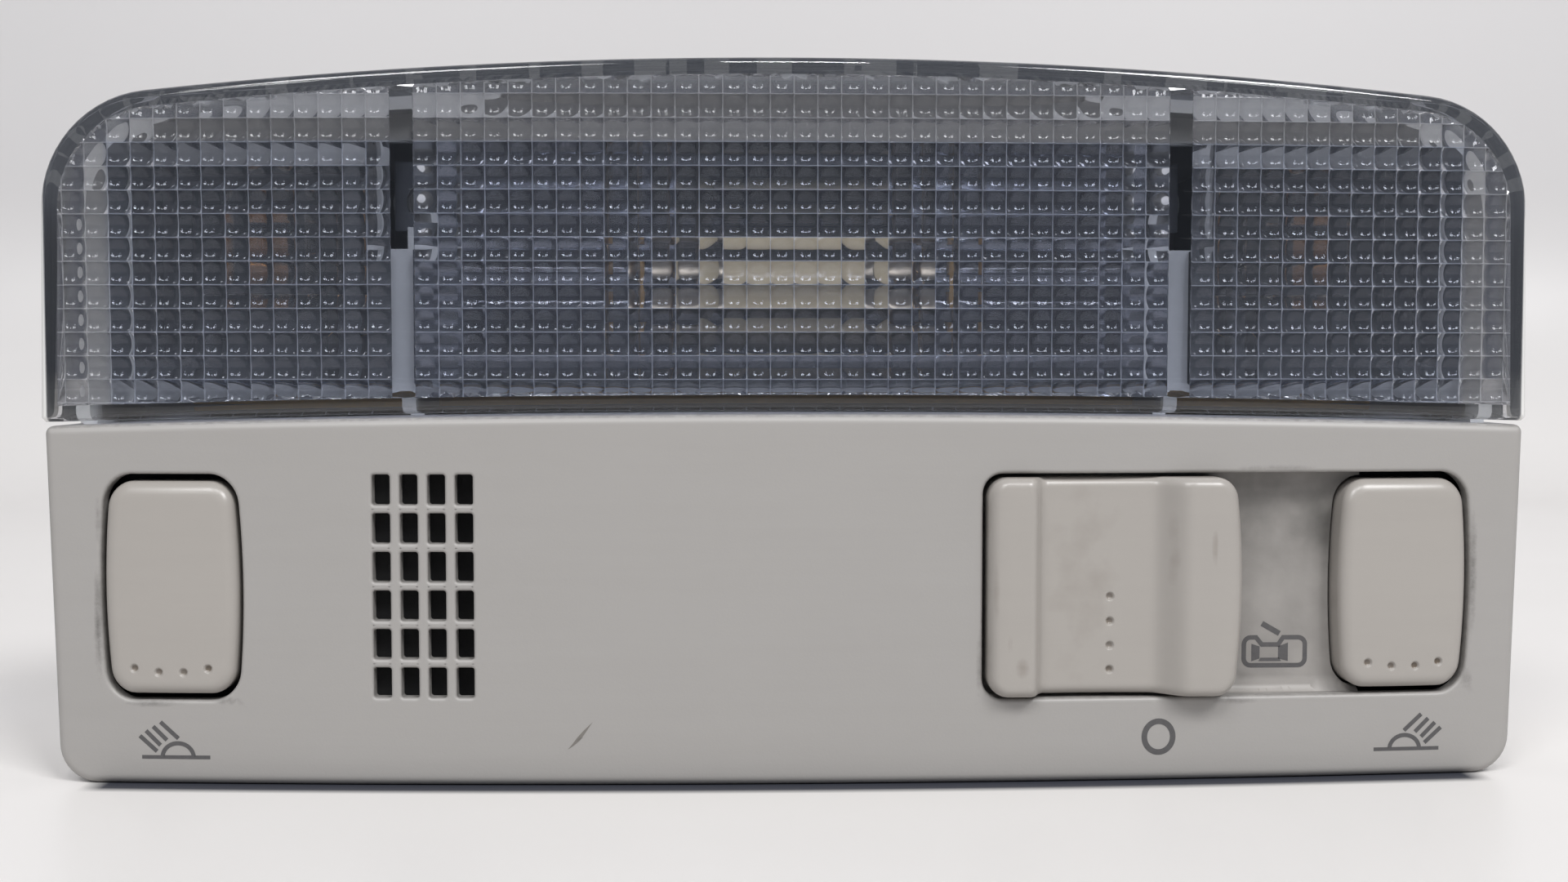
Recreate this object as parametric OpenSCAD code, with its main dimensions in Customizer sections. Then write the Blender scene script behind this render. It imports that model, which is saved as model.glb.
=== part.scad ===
// Interior dome light for a car roof: a centre lamp and two reading lamps behind one lens,
// with two push buttons, a three-way slide switch and a microphone grille in the front cover.
// X runs to the right, Y into the roof and Z up. The crowned face looks along -Y.
// A depth is measured backwards from the foremost point of the crowned face.

/* [Case] */
// Width of the front cover at the seam
cover_w = 191.2; // [188:0.2:194]
// Amount by which each side of the cover leans in towards its foot
side_slope = 1; // [0.6:0.1:1.4]
// Amount by which the lens stands out beyond the cover on each side
lens_overhang = 0.5; // [0.2:0.1:0.8]
// Height of the case at the middle
case_h = 92.4; // [91:0.2:96]
// Depth from the crowned face to the end of the connector
case_d = 44; // [42:0.5:50]
// Radius of the crown of the face, seen from above
crown_r = 1175; // [1000:25:1600]
// Radius of the arched top edge
top_r = 850; // [750:10:1000]
// Radius of the two upper corners
corner_r = 15; // [12:0.5:17]
// Radius of the two lower corners
foot_r = 5; // [3:0.5:6]
// Height of the seam between lens and cover at the middle
seam_z = 47.7; // [47.3:0.1:48.2]
// Radius of the arched seam
seam_r = 3000; // [2500:100:4000]
// Gap between lens and cover along the seam
seam_gap = 0.5; // [0.3:0.1:0.8]
// Rounding of the front edges
edge_r = 1.2; // [0.8:0.1:1.6]
// Depth of the skirts of lens and cover
skirt_d = 16; // [15.5:0.5:18]

/* [Walls] */
// Thickness of the front cover
cover_t = 2; // [1.6:0.1:2.2]
// Thickness of the lens
lens_t = 2; // [1.6:0.1:2.2]
// Thickness of the walls of the rear housing
housing_t = 1.8; // [1.4:0.1:2.2]
// Clearance between the housing and the skirts round it
skirt_gap = 0.4; // [0.3:0.05:0.6]
// Thickness of the flange that carries both skirts
flange_t = 2; // [1.5:0.1:3]
// Depth at which the walls of the housing begin
wall_start = 8.3; // [8:0.1:9]
// Running clearance round moving pieces
play = 0.3; // [0.25:0.05:0.4]

/* [Lamp chambers] */
// Depth of the deck that carries the reflector and the shades
deck_d = 12; // [11.5:0.5:13]
// Thickness of the deck
deck_t = 1.6; // [1.2:0.1:2]
// Half width of the centre chamber
centre_half = 44; // [40:0.5:45]
// Distance of the inner edge of a side chamber from the middle
side_in = 56; // [55:0.5:58]
// Distance of the outer edge of a side chamber from the middle
side_out = 87.4; // [84:0.1:87.6]
// Distance of the chambers above the seam
chamber_up = 4.3; // [4:0.1:5]
// Distance of the centre chamber below the top of the case
chamber_down = 9.4; // [9:0.1:12]
// Distance by which the side chambers end lower than the centre chamber
side_drop = 3; // [2:0.5:5]
// Wall thickness of reflector and shades
shade_t = 1.2; // [0.8:0.1:1.4]
// Clearance of reflector and shades in the deck
shade_gap = 0.2; // [0.1:0.05:0.3]
// Distance of the middle of the bare deck strip between their flanges from the middle
bare_x = 51.4; // [51:0.1:52]
// Width of the bare deck strip
bare_w = 3.4; // [3:0.1:4]
// Space between the reflector and the back wall
reflector_room = 4.2; // [3.5:0.1:6]
// Space between the shades and the back wall
shade_room = 3.2; // [2.5:0.1:6]

/* [Lamps] */
// Length of the centre lamp over its caps
festoon_l = 42; // [38:0.5:44]
// Diameter of the centre lamp's glass
festoon_dia = 10.5; // [9:0.1:11]
// Wall thickness of the centre lamp's glass
glass_t = 0.6; // [0.4:0.1:1]
// Diameter of the caps
cap_dia = 7; // [6:0.1:7.5]
// Length of each cap
cap_l = 7; // [6:0.1:8]
// Height of the axis of the centre lamp
festoon_z = 64.5; // [63:0.1:68]
// Distance of the centre lamp's axis in front of the bottom of the reflector
festoon_up = 10; // [8:0.1:11]
// Thickness of the spring clips of the centre lamp
clip_t = 0.5; // [0.4:0.1:0.8]
// Distance of the reading lamps from the middle
reading_x = 70; // [69:0.5:71]
// Distance of the reading lamps' axis in front of the bottom of the shades
reading_up = 9; // [8:0.5:10]
// Diameter of the glass of the reading lamps
reading_dia = 9.5; // [8:0.1:10]
// Length of the glass of the reading lamps above the socket
reading_l = 15; // [13:0.5:15.5]
// Width of the sockets of the reading lamps
socket_w = 14; // [12:0.5:16]
// Height of the sockets of the reading lamps
socket_h = 9; // [8:0.5:10]
// Thickness of the contact strips
strip_t = 0.6; // [0.4:0.1:0.8]
// Width of the contact strips
strip_w = 5; // [4:0.5:6]

/* [Fixing] */
// Distance between the two fixing holes
fix_spacing = 100; // [99:0.5:101]
// Distance of the fixing holes below the top of the case
fix_down = 16.4; // [16:0.1:17.4]
// Diameter of the fixing holes
fix_dia = 4.6; // [4:0.1:5]
// Outer diameter of the fixing bosses
boss_dia = 9; // [8:0.5:9.5]
// Length of the fixing bosses in front of the back wall
boss_l = 12.2; // [8:0.1:14]
// Height of the wells in front of the fixing bosses
well_h = 14; // [10:0.5:14]
// Thickness of the bearing plates under the screw heads
plate_t = 1; // [0.8:0.1:1.5]
// Distance of the roof hooks from the middle
hook_x = 62; // [50:1:75]
// Width of the roof hooks
hook_w = 14; // [8:1:20]

/* [Push buttons] */
// Distance of the buttons from the middle
button_x = 79.35; // [79.2:0.05:79.5]
// Width of a button
button_w = 17.2; // [16.6:0.1:17.4]
// Height of the lower edge of a button
button_z0 = 11.75; // [11.7:0.05:12]
// Height of the upper edge of a button
button_z1 = 39; // [38.8:0.1:39.2]
// Clearance beside a button
button_gap = 0.55; // [0.45:0.05:0.7]
// Height of a button's face above the cover
button_proud = 0.8; // [0.4:0.1:1.2]
// Rounding of a button's edges
button_edge = 1.2; // [0.8:0.1:1.4]
// Corner radius of a button
button_r = 3.6; // [3:0.1:4]
// Outward bow of a button's sides
button_bow = 0.4; // [0.2:0.1:0.6]
// Wall thickness of a button
button_t = 1.4; // [1:0.1:1.6]
// Diameter of the pivot stubs
pivot_dia = 2.2; // [2:0.1:2.4]
// Radial clearance of the pivot stubs
pivot_gap = 0.06; // [0.04:0.01:0.1]
// Height of the pivot axis
pivot_z = 36.8; // [36.5:0.1:37]
// Depth of the pivot axis
pivot_d = 8.5; // [8.5:0.1:8.8]
// Length of the pivot stubs
stub_l = 2.6; // [2.2:0.1:3]
// Height at which a button presses its plunger
press_z = 20; // [18:0.5:22]
// Diameter of the plungers
plunger_dia = 4; // [3:0.1:5]

/* [Slide switch] */
// Left edge of the knob in its left position
knob_x0 = 24.4; // [24.2:0.1:24.8]
// Width of the knob
knob_w = 33; // [32.6:0.1:33.2]
// Height of the lower edge of the knob
knob_z0 = 11.3; // [11.2:0.1:11.8]
// Height of the upper edge of the knob
knob_z1 = 39.4; // [39.2:0.1:39.5]
// Height of the ridges in front of the crown of the face
knob_proud = 1.8; // [1:0.1:2.4]
// Depth of the hollow between the ridges
hollow_h = 2.2; // [1.4:0.1:2.4]
// Width of the left ridge
ridge_left = 6.3; // [5:0.1:7]
// Width of the right ridge
ridge_right = 7.8; // [6:0.1:8.5]
// Travel of the knob from its left to its right position
knob_travel = 11.7; // [11:0.1:12]
// Depth of the floor of the recess
recess_d = 5.2; // [5:0.1:5.4]
// Thickness of the floor of the recess
recess_t = 1.4; // [1.2:0.1:1.5]
// Lower edge of the recess
recess_z0 = 10.9; // [10.8:0.1:11]
// Upper edge of the recess
recess_z1 = 39.9; // [39.8:0.1:40.1]
// Width of the stem of the knob
stem_w = 8; // [7:0.1:8.2]
// Height of the stem of the knob
stem_h = 10; // [8:0.5:12]
// Width of the carriage
carriage_w = 24; // [20:0.5:24]
// Height of the carriage
carriage_h = 18; // [16:0.5:19]
// Thickness of the carriage
carriage_t = 1.8; // [1.5:0.1:1.9]
// Corner radius of the knob
knob_r = 2.6; // [2:0.1:3]
// Rounding of the knob's edges
knob_edge = 1.4; // [1:0.1:1.6]

/* [Dots] */
// Diameter of the marking dots
dot_dia = 0.85; // [0.6:0.05:1]
// Depth of the marking dots
dot_d = 0.35; // [0.2:0.05:0.5]
// Distance between the marking dots
dot_pitch = 3.1; // [2.8:0.1:3.4]
// Height of the lowest dots above the lower edge
dot_up = 2.9; // [2.4:0.1:3.4]

/* [Lens optics] */
// Pitch of the pillows on the inner face of the lens
pillow = 3; // [2.8:0.1:3.6]
// Height of a pillow
pillow_h = 0.6; // [0.3:0.1:0.9]
// Distance of the uppermost whole row below the top of the case
pillow_down = 4.5; // [4:0.1:6]

/* [Switch carrier] */
// Depth of the front of the carrier plate
carrier_d = 11; // [10.9:0.1:11.5]
// Thickness of the carrier plate
carrier_t = 2; // [1.6:0.1:2.4]
// Thickness of the circuit board
board_t = 1; // [0.8:0.1:1.2]
// Diameter of the screw posts behind the cover
post_dia = 6; // [5:0.1:6.4]
// Diameter of the carrier screws
screw_dia = 2.4; // [2:0.1:2.6]

/* [Microphone] */
// Distance of the middle of the grille from the middle of the case
mic_x = -46.9; // [-48:0.1:-45]
// Height of the middle of the grille
mic_z = 25.6; // [25:0.1:26]
// Number of slots across the grille
slots_x = 4; // [2:1:4]
// Number of slots up the grille
slots_z = 6; // [2:1:6]
// Distance between slots across the grille
slot_pitch_x = 3.52; // [3.2:0.02:3.8]
// Distance between slots up the grille
slot_pitch_z = 4.93; // [4.6:0.01:5]
// Width of a slot
slot_w = 2.15; // [1.6:0.05:2.4]
// Height of a slot
slot_h = 3.75; // [3:0.05:4]
// Thickness of the felt behind the grille
felt_t = 1; // [0.8:0.1:1.2]
// Diameter of the microphone capsule
capsule_dia = 9.6; // [8:0.1:10]

/* [Connector] */
// Position of the connector to the right of the middle
plug_x = 20; // [10:1:30]
// Height of the middle of the connector
plug_z = 24; // [20:1:28]
// Width of the connector
plug_w = 26; // [22:1:30]
// Height of the connector
plug_h = 14; // [13.5:0.5:16]
// Length of the connector behind the housing
plug_out = 8; // [6:0.5:10]
// Wall thickness of the connector
plug_wall = 1.2; // [1:0.1:1.4]
// Number of pins
pins = 6; // [3:1:6]
// Width of a pin
pin_w = 1.5; // [1:0.1:2]
// Thickness of a pin
pin_t = 0.6; // [0.4:0.1:0.8]

/* [Hidden] */
$fn = 48;
crown_steps = 24;
arc_steps = 20;
corner_steps = 6;
hull_fn = 20;
eps = 0.01;
beyond = 2;
face_y = (knob_proud - case_d) / 2;
cover_half = cover_w / 2;
foot_half = cover_half - side_slope;
lens_half = cover_half + lens_overhang;
shoulder_half = lens_half - 0.5;
seam_low = arc_height(seam_z, seam_r, lens_half);
housing_half = foot_half - cover_t - skirt_gap;
housing_inset = lens_t + skirt_gap;
inner_half = housing_half - housing_t;
housing_d = case_d - plug_out;
hollow_d = housing_d - housing_t;
reflector_d = hollow_d - reflector_room;
shade_d = hollow_d - shade_room;
festoon_d = reflector_d - festoon_up;
reading_d = shade_d - reading_up;
boss_start = hollow_d - boss_l;
fix_z = case_h - fix_down;
flange_d = skirt_d + flange_t;
skirt_lip = wall_start - 0.7;
open_half = foot_half - cover_t - 0.2;
divider_z = seam_low - beyond / 2;
festoon_half = festoon_l / 2;
glass_half = festoon_half - cap_l;
chamber_z0 = seam_z + chamber_up;
chamber_z1 = case_h - chamber_down;
chamber_h = chamber_z1 - chamber_z0;
side_h = chamber_h - side_drop;
button_h = button_z1 - button_z0;
hole_w = button_w + 2 * button_gap;
hole_z0 = button_z0 - button_gap;
hole_h = recess_z1 - hole_z0;
hole_z = (hole_z0 + recess_z1) / 2;
recess_x0 = knob_x0 - play;
recess_x1 = button_x - hole_w / 2;
knob_x = knob_x0 + knob_w / 2;
knob_h = knob_z1 - knob_z0;
knob_z = (knob_z0 + knob_z1) / 2;
carriage_d = recess_d + recess_t + play;
board_d = carrier_d - board_t;
bridge_t = board_d - play - carriage_d - carriage_t;
press_d = carrier_d - 1.7;
grille_w = (slots_x - 1) * slot_pitch_x + slot_w;
grille_h = (slots_z - 1) * slot_pitch_z + slot_h;
felt_d = crown(mic_x - grille_w / 2 - beyond) + cover_t + play / 3;
ledge_w = 2.4;
plug_step = 4;
nose_r = 1.2;
leaf_t = 0.4;
leaf_wave = 0.3;
leaf_z = knob_z + carriage_h / 2 + nose_r + play + 2 * leaf_wave;
ear_t = 1.6;
wall_room = 0.15;

// Height of an arched edge at a distance x from the middle
function arc_height(top, r, x) = top - r + sqrt(r * r - x * x);
// Depth of the crowned face at a distance x from the middle
function crown(x) = crown_r - sqrt(crown_r * crown_r - x * x);
// Evenly spaced values from a to b
function steps(a, b, n) = [for (i = [0:n]) a + (b - a) * i / n];

// Point on the seam at a distance x from the middle, raised by a distance
function seam_point(x, up) = [x, arc_height(seam_z, seam_r, x) - seam_gap / 2 + up];
// Point on a round corner
function corner_point(x, z, r, a) = [x + r * cos(a), z + r * sin(a)];
// Angles of the rings that round a front edge
edge_turns = [0, 22.5, 45, 67.5, 90];

// A block with a shaped face and rounded front edges. The face is a function that gives its depth
// at a distance x from the middle. Each outline belongs to one ring of the edge, front ring first,
// and starts with its upper half from left to right.
module crowned_block(outlines, r, face, back_d) {
    n = len(outlines[0]);
    m = n / 2;
    rings = len(outlines);
    last = rings * n;
    points = concat(
        [for (k = [0:rings - 1], p = outlines[k])
            [p[0], face_y + face(p[0]) + r * (1 - cos(edge_turns[k])), p[1]]],
        [for (p = outlines[rings - 1]) [p[0], face_y + back_d, p[1]]]
    );
    polyhedron(points, concat(
        [for (i = [0:m - 2]) [i, i + 1, n - 1 - i]],
        [for (i = [0:m - 2]) [i + 1, n - 2 - i, n - 1 - i]],
        [for (k = [0:rings - 1], i = [0:n - 1]) [k * n + (i + 1) % n, k * n + i, (k + 1) * n + i]],
        [for (k = [0:rings - 1], i = [0:n - 1])
            [k * n + (i + 1) % n, (k + 1) * n + i, (k + 1) * n + (i + 1) % n]],
        [for (i = [0:m - 2]) [last + n - 1 - i, last + i + 1, last + i]],
        [for (i = [0:m - 2]) [last + n - 1 - i, last + n - 2 - i, last + i + 1]]
    ));
}

// Extrudes a front outline between two depths
module slab(d0, d1) {
    translate([0, face_y + d1, 0]) rotate([90, 0, 0]) linear_extrude(d1 - d0) children();
}

// Everything behind the crowned face, set back by a distance
module behind_crown(set_back) {
    translate([0, face_y, -beyond]) linear_extrude(case_h + 2 * beyond) polygon(concat(
        [for (x = steps(-lens_half, lens_half, crown_steps)) [x, crown(x) + set_back]],
        [[lens_half, case_d], [-lens_half, case_d]]
    ));
}

// A cylinder that runs into the roof between two depths
module rod_y(x, z, d, d0, d1) {
    translate([x, face_y + d0, z]) rotate([-90, 0, 0]) cylinder(d = d, h = d1 - d0);
}

// A block between two corners, with its depth measured from the face
module block(x0, x1, z0, z1, d0, d1) {
    translate([x0, face_y + d0, z0]) cube([x1 - x0, d1 - d0, z1 - z0]);
}

// A rectangle with rounded corners about a centre
module round_rect(x, z, w, h, r) {
    translate([x - w / 2 + r, z - h / 2]) square([w - 2 * r, h]);
    translate([x - w / 2, z - h / 2 + r]) square([w, h - 2 * r]);
    for (sx = [-1, 1], sz = [-1, 1])
        translate([x + sx * (w / 2 - r), z + sz * (h / 2 - r)]) circle(r = r);
}

// A rectangle with rounded corners and bowed sides about a centre
module barrel(x, z, w, h, r, bow) {
    side_r = (h * h / 4 + bow * bow) / (2 * bow);
    translate([x, z]) offset(r = r, $fn = hull_fn) offset(delta = -r) intersection() {
        square([w, h], center = true);
        for (s = [-1, 1]) translate([s * (side_r - w / 2), 0]) circle(r = side_r, $fn = 180);
    }
}

// Arched upper edge with its two round corners, from left to right
function upper_path(half, inset, r) = let (
    arc = top_r - inset,
    turn = asin((half - r) / (arc - r)),
    centre_z = case_h - top_r + (arc - r) * cos(turn)
) concat(
    [for (i = [0:corner_steps - 1])
        corner_point(r - half, centre_z, r, 180 - i * (90 - turn) / corner_steps)],
    [for (a = steps(-turn, turn, arc_steps)) [arc * sin(a), case_h - top_r + arc * cos(a)]],
    [for (i = [corner_steps - 1:-1:0])
        corner_point(half - r, centre_z, r, i * (90 - turn) / corner_steps)]
);

// Straight lower edge with its two round corners, from right to left
function foot_path(half, low, r) = concat(
    [for (i = [0:corner_steps]) corner_point(half - r, low + r, r, -90 * i / corner_steps)],
    [for (i = [0:corner_steps]) corner_point(r - half, low + r, r, -90 - 90 * i / corner_steps)]
);

// Outline of the lens, drawn inwards by a distance: its upper edge, then the seam
function lens_path(inset) = let (
    top = upper_path(shoulder_half - inset, inset, corner_r - inset),
    spread = (lens_half - inset) / (shoulder_half - inset)
) concat(top, [for (i = [len(top) - 1:-1:0]) seam_point(top[i][0] * spread, seam_gap + inset)]);

// Outline of the cover, drawn inwards by a distance: its seam, then its foot in as many points
function cover_path(inset) = let (r = max(foot_r - inset, 1), flat_half = foot_half - inset - r) concat(
    [for (u = steps(-1, 1, crown_steps)) seam_point(u * (cover_half - inset), -inset)],
    [for (a = [0, 30, 60, 90]) corner_point(flat_half, inset + r, r, -a)],
    [for (i = [1:crown_steps - 7]) [flat_half * (1 - 2 * i / (crown_steps - 6)), inset]],
    [for (a = [90, 120, 150, 180]) corner_point(-flat_half, inset + r, r, -a)]
);

module lens_outline(inset = 0) {
    polygon(lens_path(inset));
}

module cover_outline(inset = 0) {
    polygon(cover_path(inset));
}

// Outline of the whole case
module case_outline() {
    polygon(concat(
        upper_path(shoulder_half, 0, corner_r),
        [[cover_half, seam_low]], foot_path(foot_half, 0, foot_r), [[-cover_half, seam_low]]
    ));
}

// Outline of the rear housing, drawn inwards by a distance
module housing_outline(inset = 0) {
    half = housing_half - inset;
    polygon(concat(
        upper_path(half, housing_inset + inset, corner_r - housing_inset - inset),
        foot_path(half, cover_t + skirt_gap + inset, max(foot_r - cover_t - inset, 0.6))
    ));
}

// Front cover

// Outline of the recess in which the knob slides
module recess_outline(grow = 0) {
    translate([recess_x0 - grow, recess_z0 - grow])
        square([recess_x1 - recess_x0 + grow, recess_z1 - recess_z0 + 2 * grow]);
}

module button_hole(side) {
    barrel(side * button_x, hole_z, hole_w, hole_h, button_r + button_gap, button_bow);
}

module stem_slot() {
    w = stem_w + knob_travel + 2 * play;
    translate([knob_x - stem_w / 2 - play, knob_z - stem_h / 2 - play]) square([w, stem_h + 2 * play]);
}

module grille_slots() {
    for (i = [0:slots_x - 1], j = [0:slots_z - 1])
        translate([
            mic_x + (i - (slots_x - 1) / 2) * slot_pitch_x - slot_w / 2,
            mic_z + (j - (slots_z - 1) / 2) * slot_pitch_z - slot_h / 2
        ]) square([slot_w, slot_h]);
}

// Places of the posts that the carrier is screwed to
posts = [[-62, 10], [-62, 38], [16, 10], [16, 38]];

module front_cover() {
    color("gainsboro") difference() {
        union() {
            difference() {
                crowned_block([for (a = edge_turns) cover_path(edge_r * (1 - sin(a)))], edge_r,
                              function (x) crown(x), skirt_d);
                intersection() {
                    slab(-beyond, skirt_d + beyond) cover_outline(cover_t);
                    behind_crown(cover_t);
                }
                block(-open_half, open_half, seam_low - 2 * beyond, seam_z + beyond,
                      skirt_lip, skirt_d + beyond);
            }
            intersection() {
                slab(0, recess_d + recess_t) recess_outline(recess_t);
                behind_crown(cover_t / 2);
            }
            for (p = posts) intersection() {
                rod_y(p[0], p[1], post_dia, 0, carrier_d);
                behind_crown(cover_t / 2);
            }
        }
        slab(-beyond, recess_d) recess_outline();
        slab(-beyond, skirt_d) stem_slot();
        for (s = [-1, 1]) slab(-beyond, carrier_d) button_hole(s);
        slab(-beyond, carrier_d) grille_slots();
        for (p = posts) rod_y(p[0], p[1], screw_dia, crown(p[0]) + cover_t, carrier_d + beyond);
    }
}

// Lens

// Places of the two snap tongues under the lens
tongue_x = 78;
tongue_w = 8;
tongue_t = 1.4;
tongue_d = 21;
tongue_z = arc_height(seam_z, seam_r, tongue_x) + seam_gap / 2;
lip_h = 0.9;

// Height of the lens's inner wall at a distance x from the middle
function wall_top(x) = let (
    half = shoulder_half - lens_t,
    r = corner_r - lens_t,
    arc = top_r - lens_t,
    turn = asin((half - r) / (arc - r))
) abs(x) < half - r + r * sin(turn)
    ? arc_height(case_h - lens_t, arc, x)
    : case_h - top_r + (arc - r) * cos(turn) + sqrt(r * r - pow(abs(x) - half + r, 2));

// Lines between the pillows: across the lens, then up it
pillow_cols = 2 * floor((shoulder_half - lens_t - wall_room) / pillow);
pillow_xs = [for (i = [0:pillow_cols]) (i - pillow_cols / 2) * pillow];
pillow_low = seam_z + seam_gap / 2 + lens_t + wall_room;
pillow_high = case_h - pillow_down;
pillow_rows = floor((pillow_high - pillow_low) / pillow - 0.1);
pillow_zs = concat(
    [pillow_low], [for (j = [pillow_rows:-1:0]) pillow_high - j * pillow], [pillow_high + pillow * 2 / 3]
);
strip_half = fix_spacing / 2;

// Whether a column of pillows belongs to a part: left, centre or right of the smooth strips
function in_part(i, part) = let (x = (pillow_xs[i] + pillow_xs[i + 1]) / 2)
    part == 0 ? abs(x) < strip_half - pillow / 2 : part * x > strip_half + pillow / 2;
// Whether a pillow belongs to a part and lies inside the walls
function in_field(i, j, part) = i >= 0 && i < pillow_cols && j >= 0 && j < len(pillow_zs) - 1
    && in_part(i, part)
    && min(wall_top(pillow_xs[i]), wall_top(pillow_xs[i + 1])) > pillow_zs[j + 1] + wall_room;

// One part of the field of pillows, each with four facets
module pillow_field(part) {
    rows = len(pillow_zs);
    n = (pillow_cols + 1) * rows;
    root = 0.4;
    cells = [for (i = [0:pillow_cols - 1], j = [0:rows - 2]) if (in_field(i, j, part)) [i, j]];
    ring = [[0, 0], [1, 0], [1, 1], [0, 1]];
    next = [[0, -1], [1, 0], [0, 1], [-1, 0]];
    corners = [for (c = cells) [for (p = ring) (c[0] + p[0]) * rows + c[1] + p[1]]];
    polyhedron(concat(
        [for (x = pillow_xs, z = pillow_zs) [x, face_y + crown(x) + lens_t + 5 * eps, z]],
        [for (x = pillow_xs, z = pillow_zs) [x, face_y + crown(x) + lens_t - root, z]],
        [for (c = cells) let (x = (pillow_xs[c[0]] + pillow_xs[c[0] + 1]) / 2)
            [x, face_y + crown(x) + lens_t + pillow_h, (pillow_zs[c[1]] + pillow_zs[c[1] + 1]) / 2]]
    ), concat(
        [for (k = [0:len(cells) - 1], t = [0:3]) [corners[k][t], corners[k][(t + 1) % 4], 2 * n + k]],
        [for (q = corners) [n + q[0], n + q[3], n + q[2], n + q[1]]],
        [for (k = [0:len(cells) - 1], t = [0:3])
            if (!in_field(cells[k][0] + next[t][0], cells[k][1] + next[t][1], part))
                [corners[k][(t + 1) % 4], corners[k][t], n + corners[k][t], n + corners[k][(t + 1) % 4]]]
    ));
}

module lens() {
    color("slategray", 0.5) {
        difference() {
            crowned_block([for (a = edge_turns) lens_path(edge_r * (1 - sin(a)))], edge_r,
                          function (x) crown(x), skirt_d);
            intersection() {
                slab(-beyond, skirt_d + beyond) lens_outline(lens_t);
                behind_crown(lens_t);
            }
            block(-open_half, open_half, seam_low - beyond, seam_z + lens_t + beyond,
                  skirt_lip, skirt_d + beyond);
        }
        for (part = [-1, 0, 1]) pillow_field(part);
        for (s = [-1, 1]) {
            x0 = s * tongue_x - tongue_w / 2;
            block(x0, x0 + tongue_w, tongue_z, tongue_z + tongue_t, skirt_lip - 1, tongue_d);
            block(x0, x0 + tongue_w, tongue_z - lip_h, tongue_z + tongue_t, tongue_d - 1.6, tongue_d);
        }
    }
}

// Rear housing

divider_top = tongue_z - play;
bar_z = divider_top + 1.5;

module chamber_hole(x0, x1, h) {
    translate([x0, chamber_z0]) square([x1 - x0, h]);
}

module deck_holes() {
    chamber_hole(-centre_half, centre_half, chamber_h);
    chamber_hole(side_in, side_out, side_h);
    chamber_hole(-side_out, -side_in, side_h);
    for (s = [-1, 1]) translate([s * fix_spacing / 2, fix_z]) square([boss_dia, well_h], center = true);
}

module rear_housing() {
    hook_h = cover_t + skirt_gap + housing_t;
    color("lightgray") difference() {
        union() {
            slab(skirt_d, flange_d) difference() {
                case_outline();
                housing_outline(housing_t / 2);
            }
            slab(wall_start, housing_d) difference() {
                housing_outline();
                housing_outline(housing_t);
            }
            slab(hollow_d, housing_d) housing_outline(housing_t / 2);
            slab(deck_d, deck_d + deck_t) difference() {
                intersection() {
                    housing_outline(housing_t / 2);
                    translate([-cover_half, chamber_z0 - 2]) square([cover_w, case_h]);
                }
                deck_holes();
            }
            block(-inner_half - eps, inner_half + eps, divider_top - housing_t, divider_top,
                  flange_d - flange_t, housing_d - eps);
            for (s = [-1, 1]) {
                x = s * fix_spacing / 2;
                rod_y(x, fix_z, boss_dia, boss_start, housing_d);
                block(x - housing_t / 2, x + housing_t / 2, divider_top - eps, fix_z - boss_dia / 2 + 0.5,
                      deck_d + deck_t - eps, hollow_d + eps);
                hook_l = s * hook_x - hook_w / 2;
                block(hook_l, hook_l + hook_w, 0, hook_h, flange_d + 6, flange_d + 8);
                block(hook_l, hook_l + hook_w, 0, 1.6, flange_d + 6, housing_d - 1);
            }
            carrier_ledge();
        }
        for (s = [-1, 1]) {
            x = s * fix_spacing / 2;
            rod_y(x, fix_z, fix_dia, boss_start - beyond, housing_d + beyond);
            window = s * tongue_x - tongue_w / 2 - 1;
            block(window, window + tongue_w + 2, divider_top - housing_t - 1, divider_top + 1,
                  tongue_d - 2.2, tongue_d + 0.6);
        }
        slab(hollow_d - beyond, housing_d + beyond)
            round_rect(plug_x, plug_z, plug_w - plug_step, plug_h - plug_step, 1);
        block(-side_out, side_out, bar_z - play, bar_z + strip_w + play, hollow_d - strip_t - play, hollow_d);
    }
}

// Ledge in the lower half of the housing that the carrier plate rests on
module carrier_ledge() {
    slab(carrier_d + carrier_t, carrier_d + carrier_t + housing_t) difference() {
        intersection() {
            housing_outline(housing_t / 2);
            translate([-cover_half, 0]) square([cover_w, seam_low - 6]);
        }
        housing_outline(housing_t + ledge_w);
    }
}

// Centre chamber

// Space of a well, cut out of the flanges in front of the deck
module well_space(side) {
    x = side * fix_spacing / 2;
    half = boss_dia / 2 + shade_gap;
    high = well_h / 2 + shade_gap;
    block(x - half, x + half, fix_z - high, fix_z + high, deck_d - 2 * shade_t, deck_d + eps);
}

// Trough of the reflector, a parabola swept along the lamp
module trough_section(grow) {
    half = chamber_h / 2 - shade_gap - shade_t + grow;
    deep = reflector_d - deck_d - shade_t + grow;
    polygon(concat(
        [for (t = steps(-1, 1, 28)) [deep * (1 - t * t), half * t]],
        [[-beyond, half], [-beyond, -half]]
    ));
}

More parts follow.
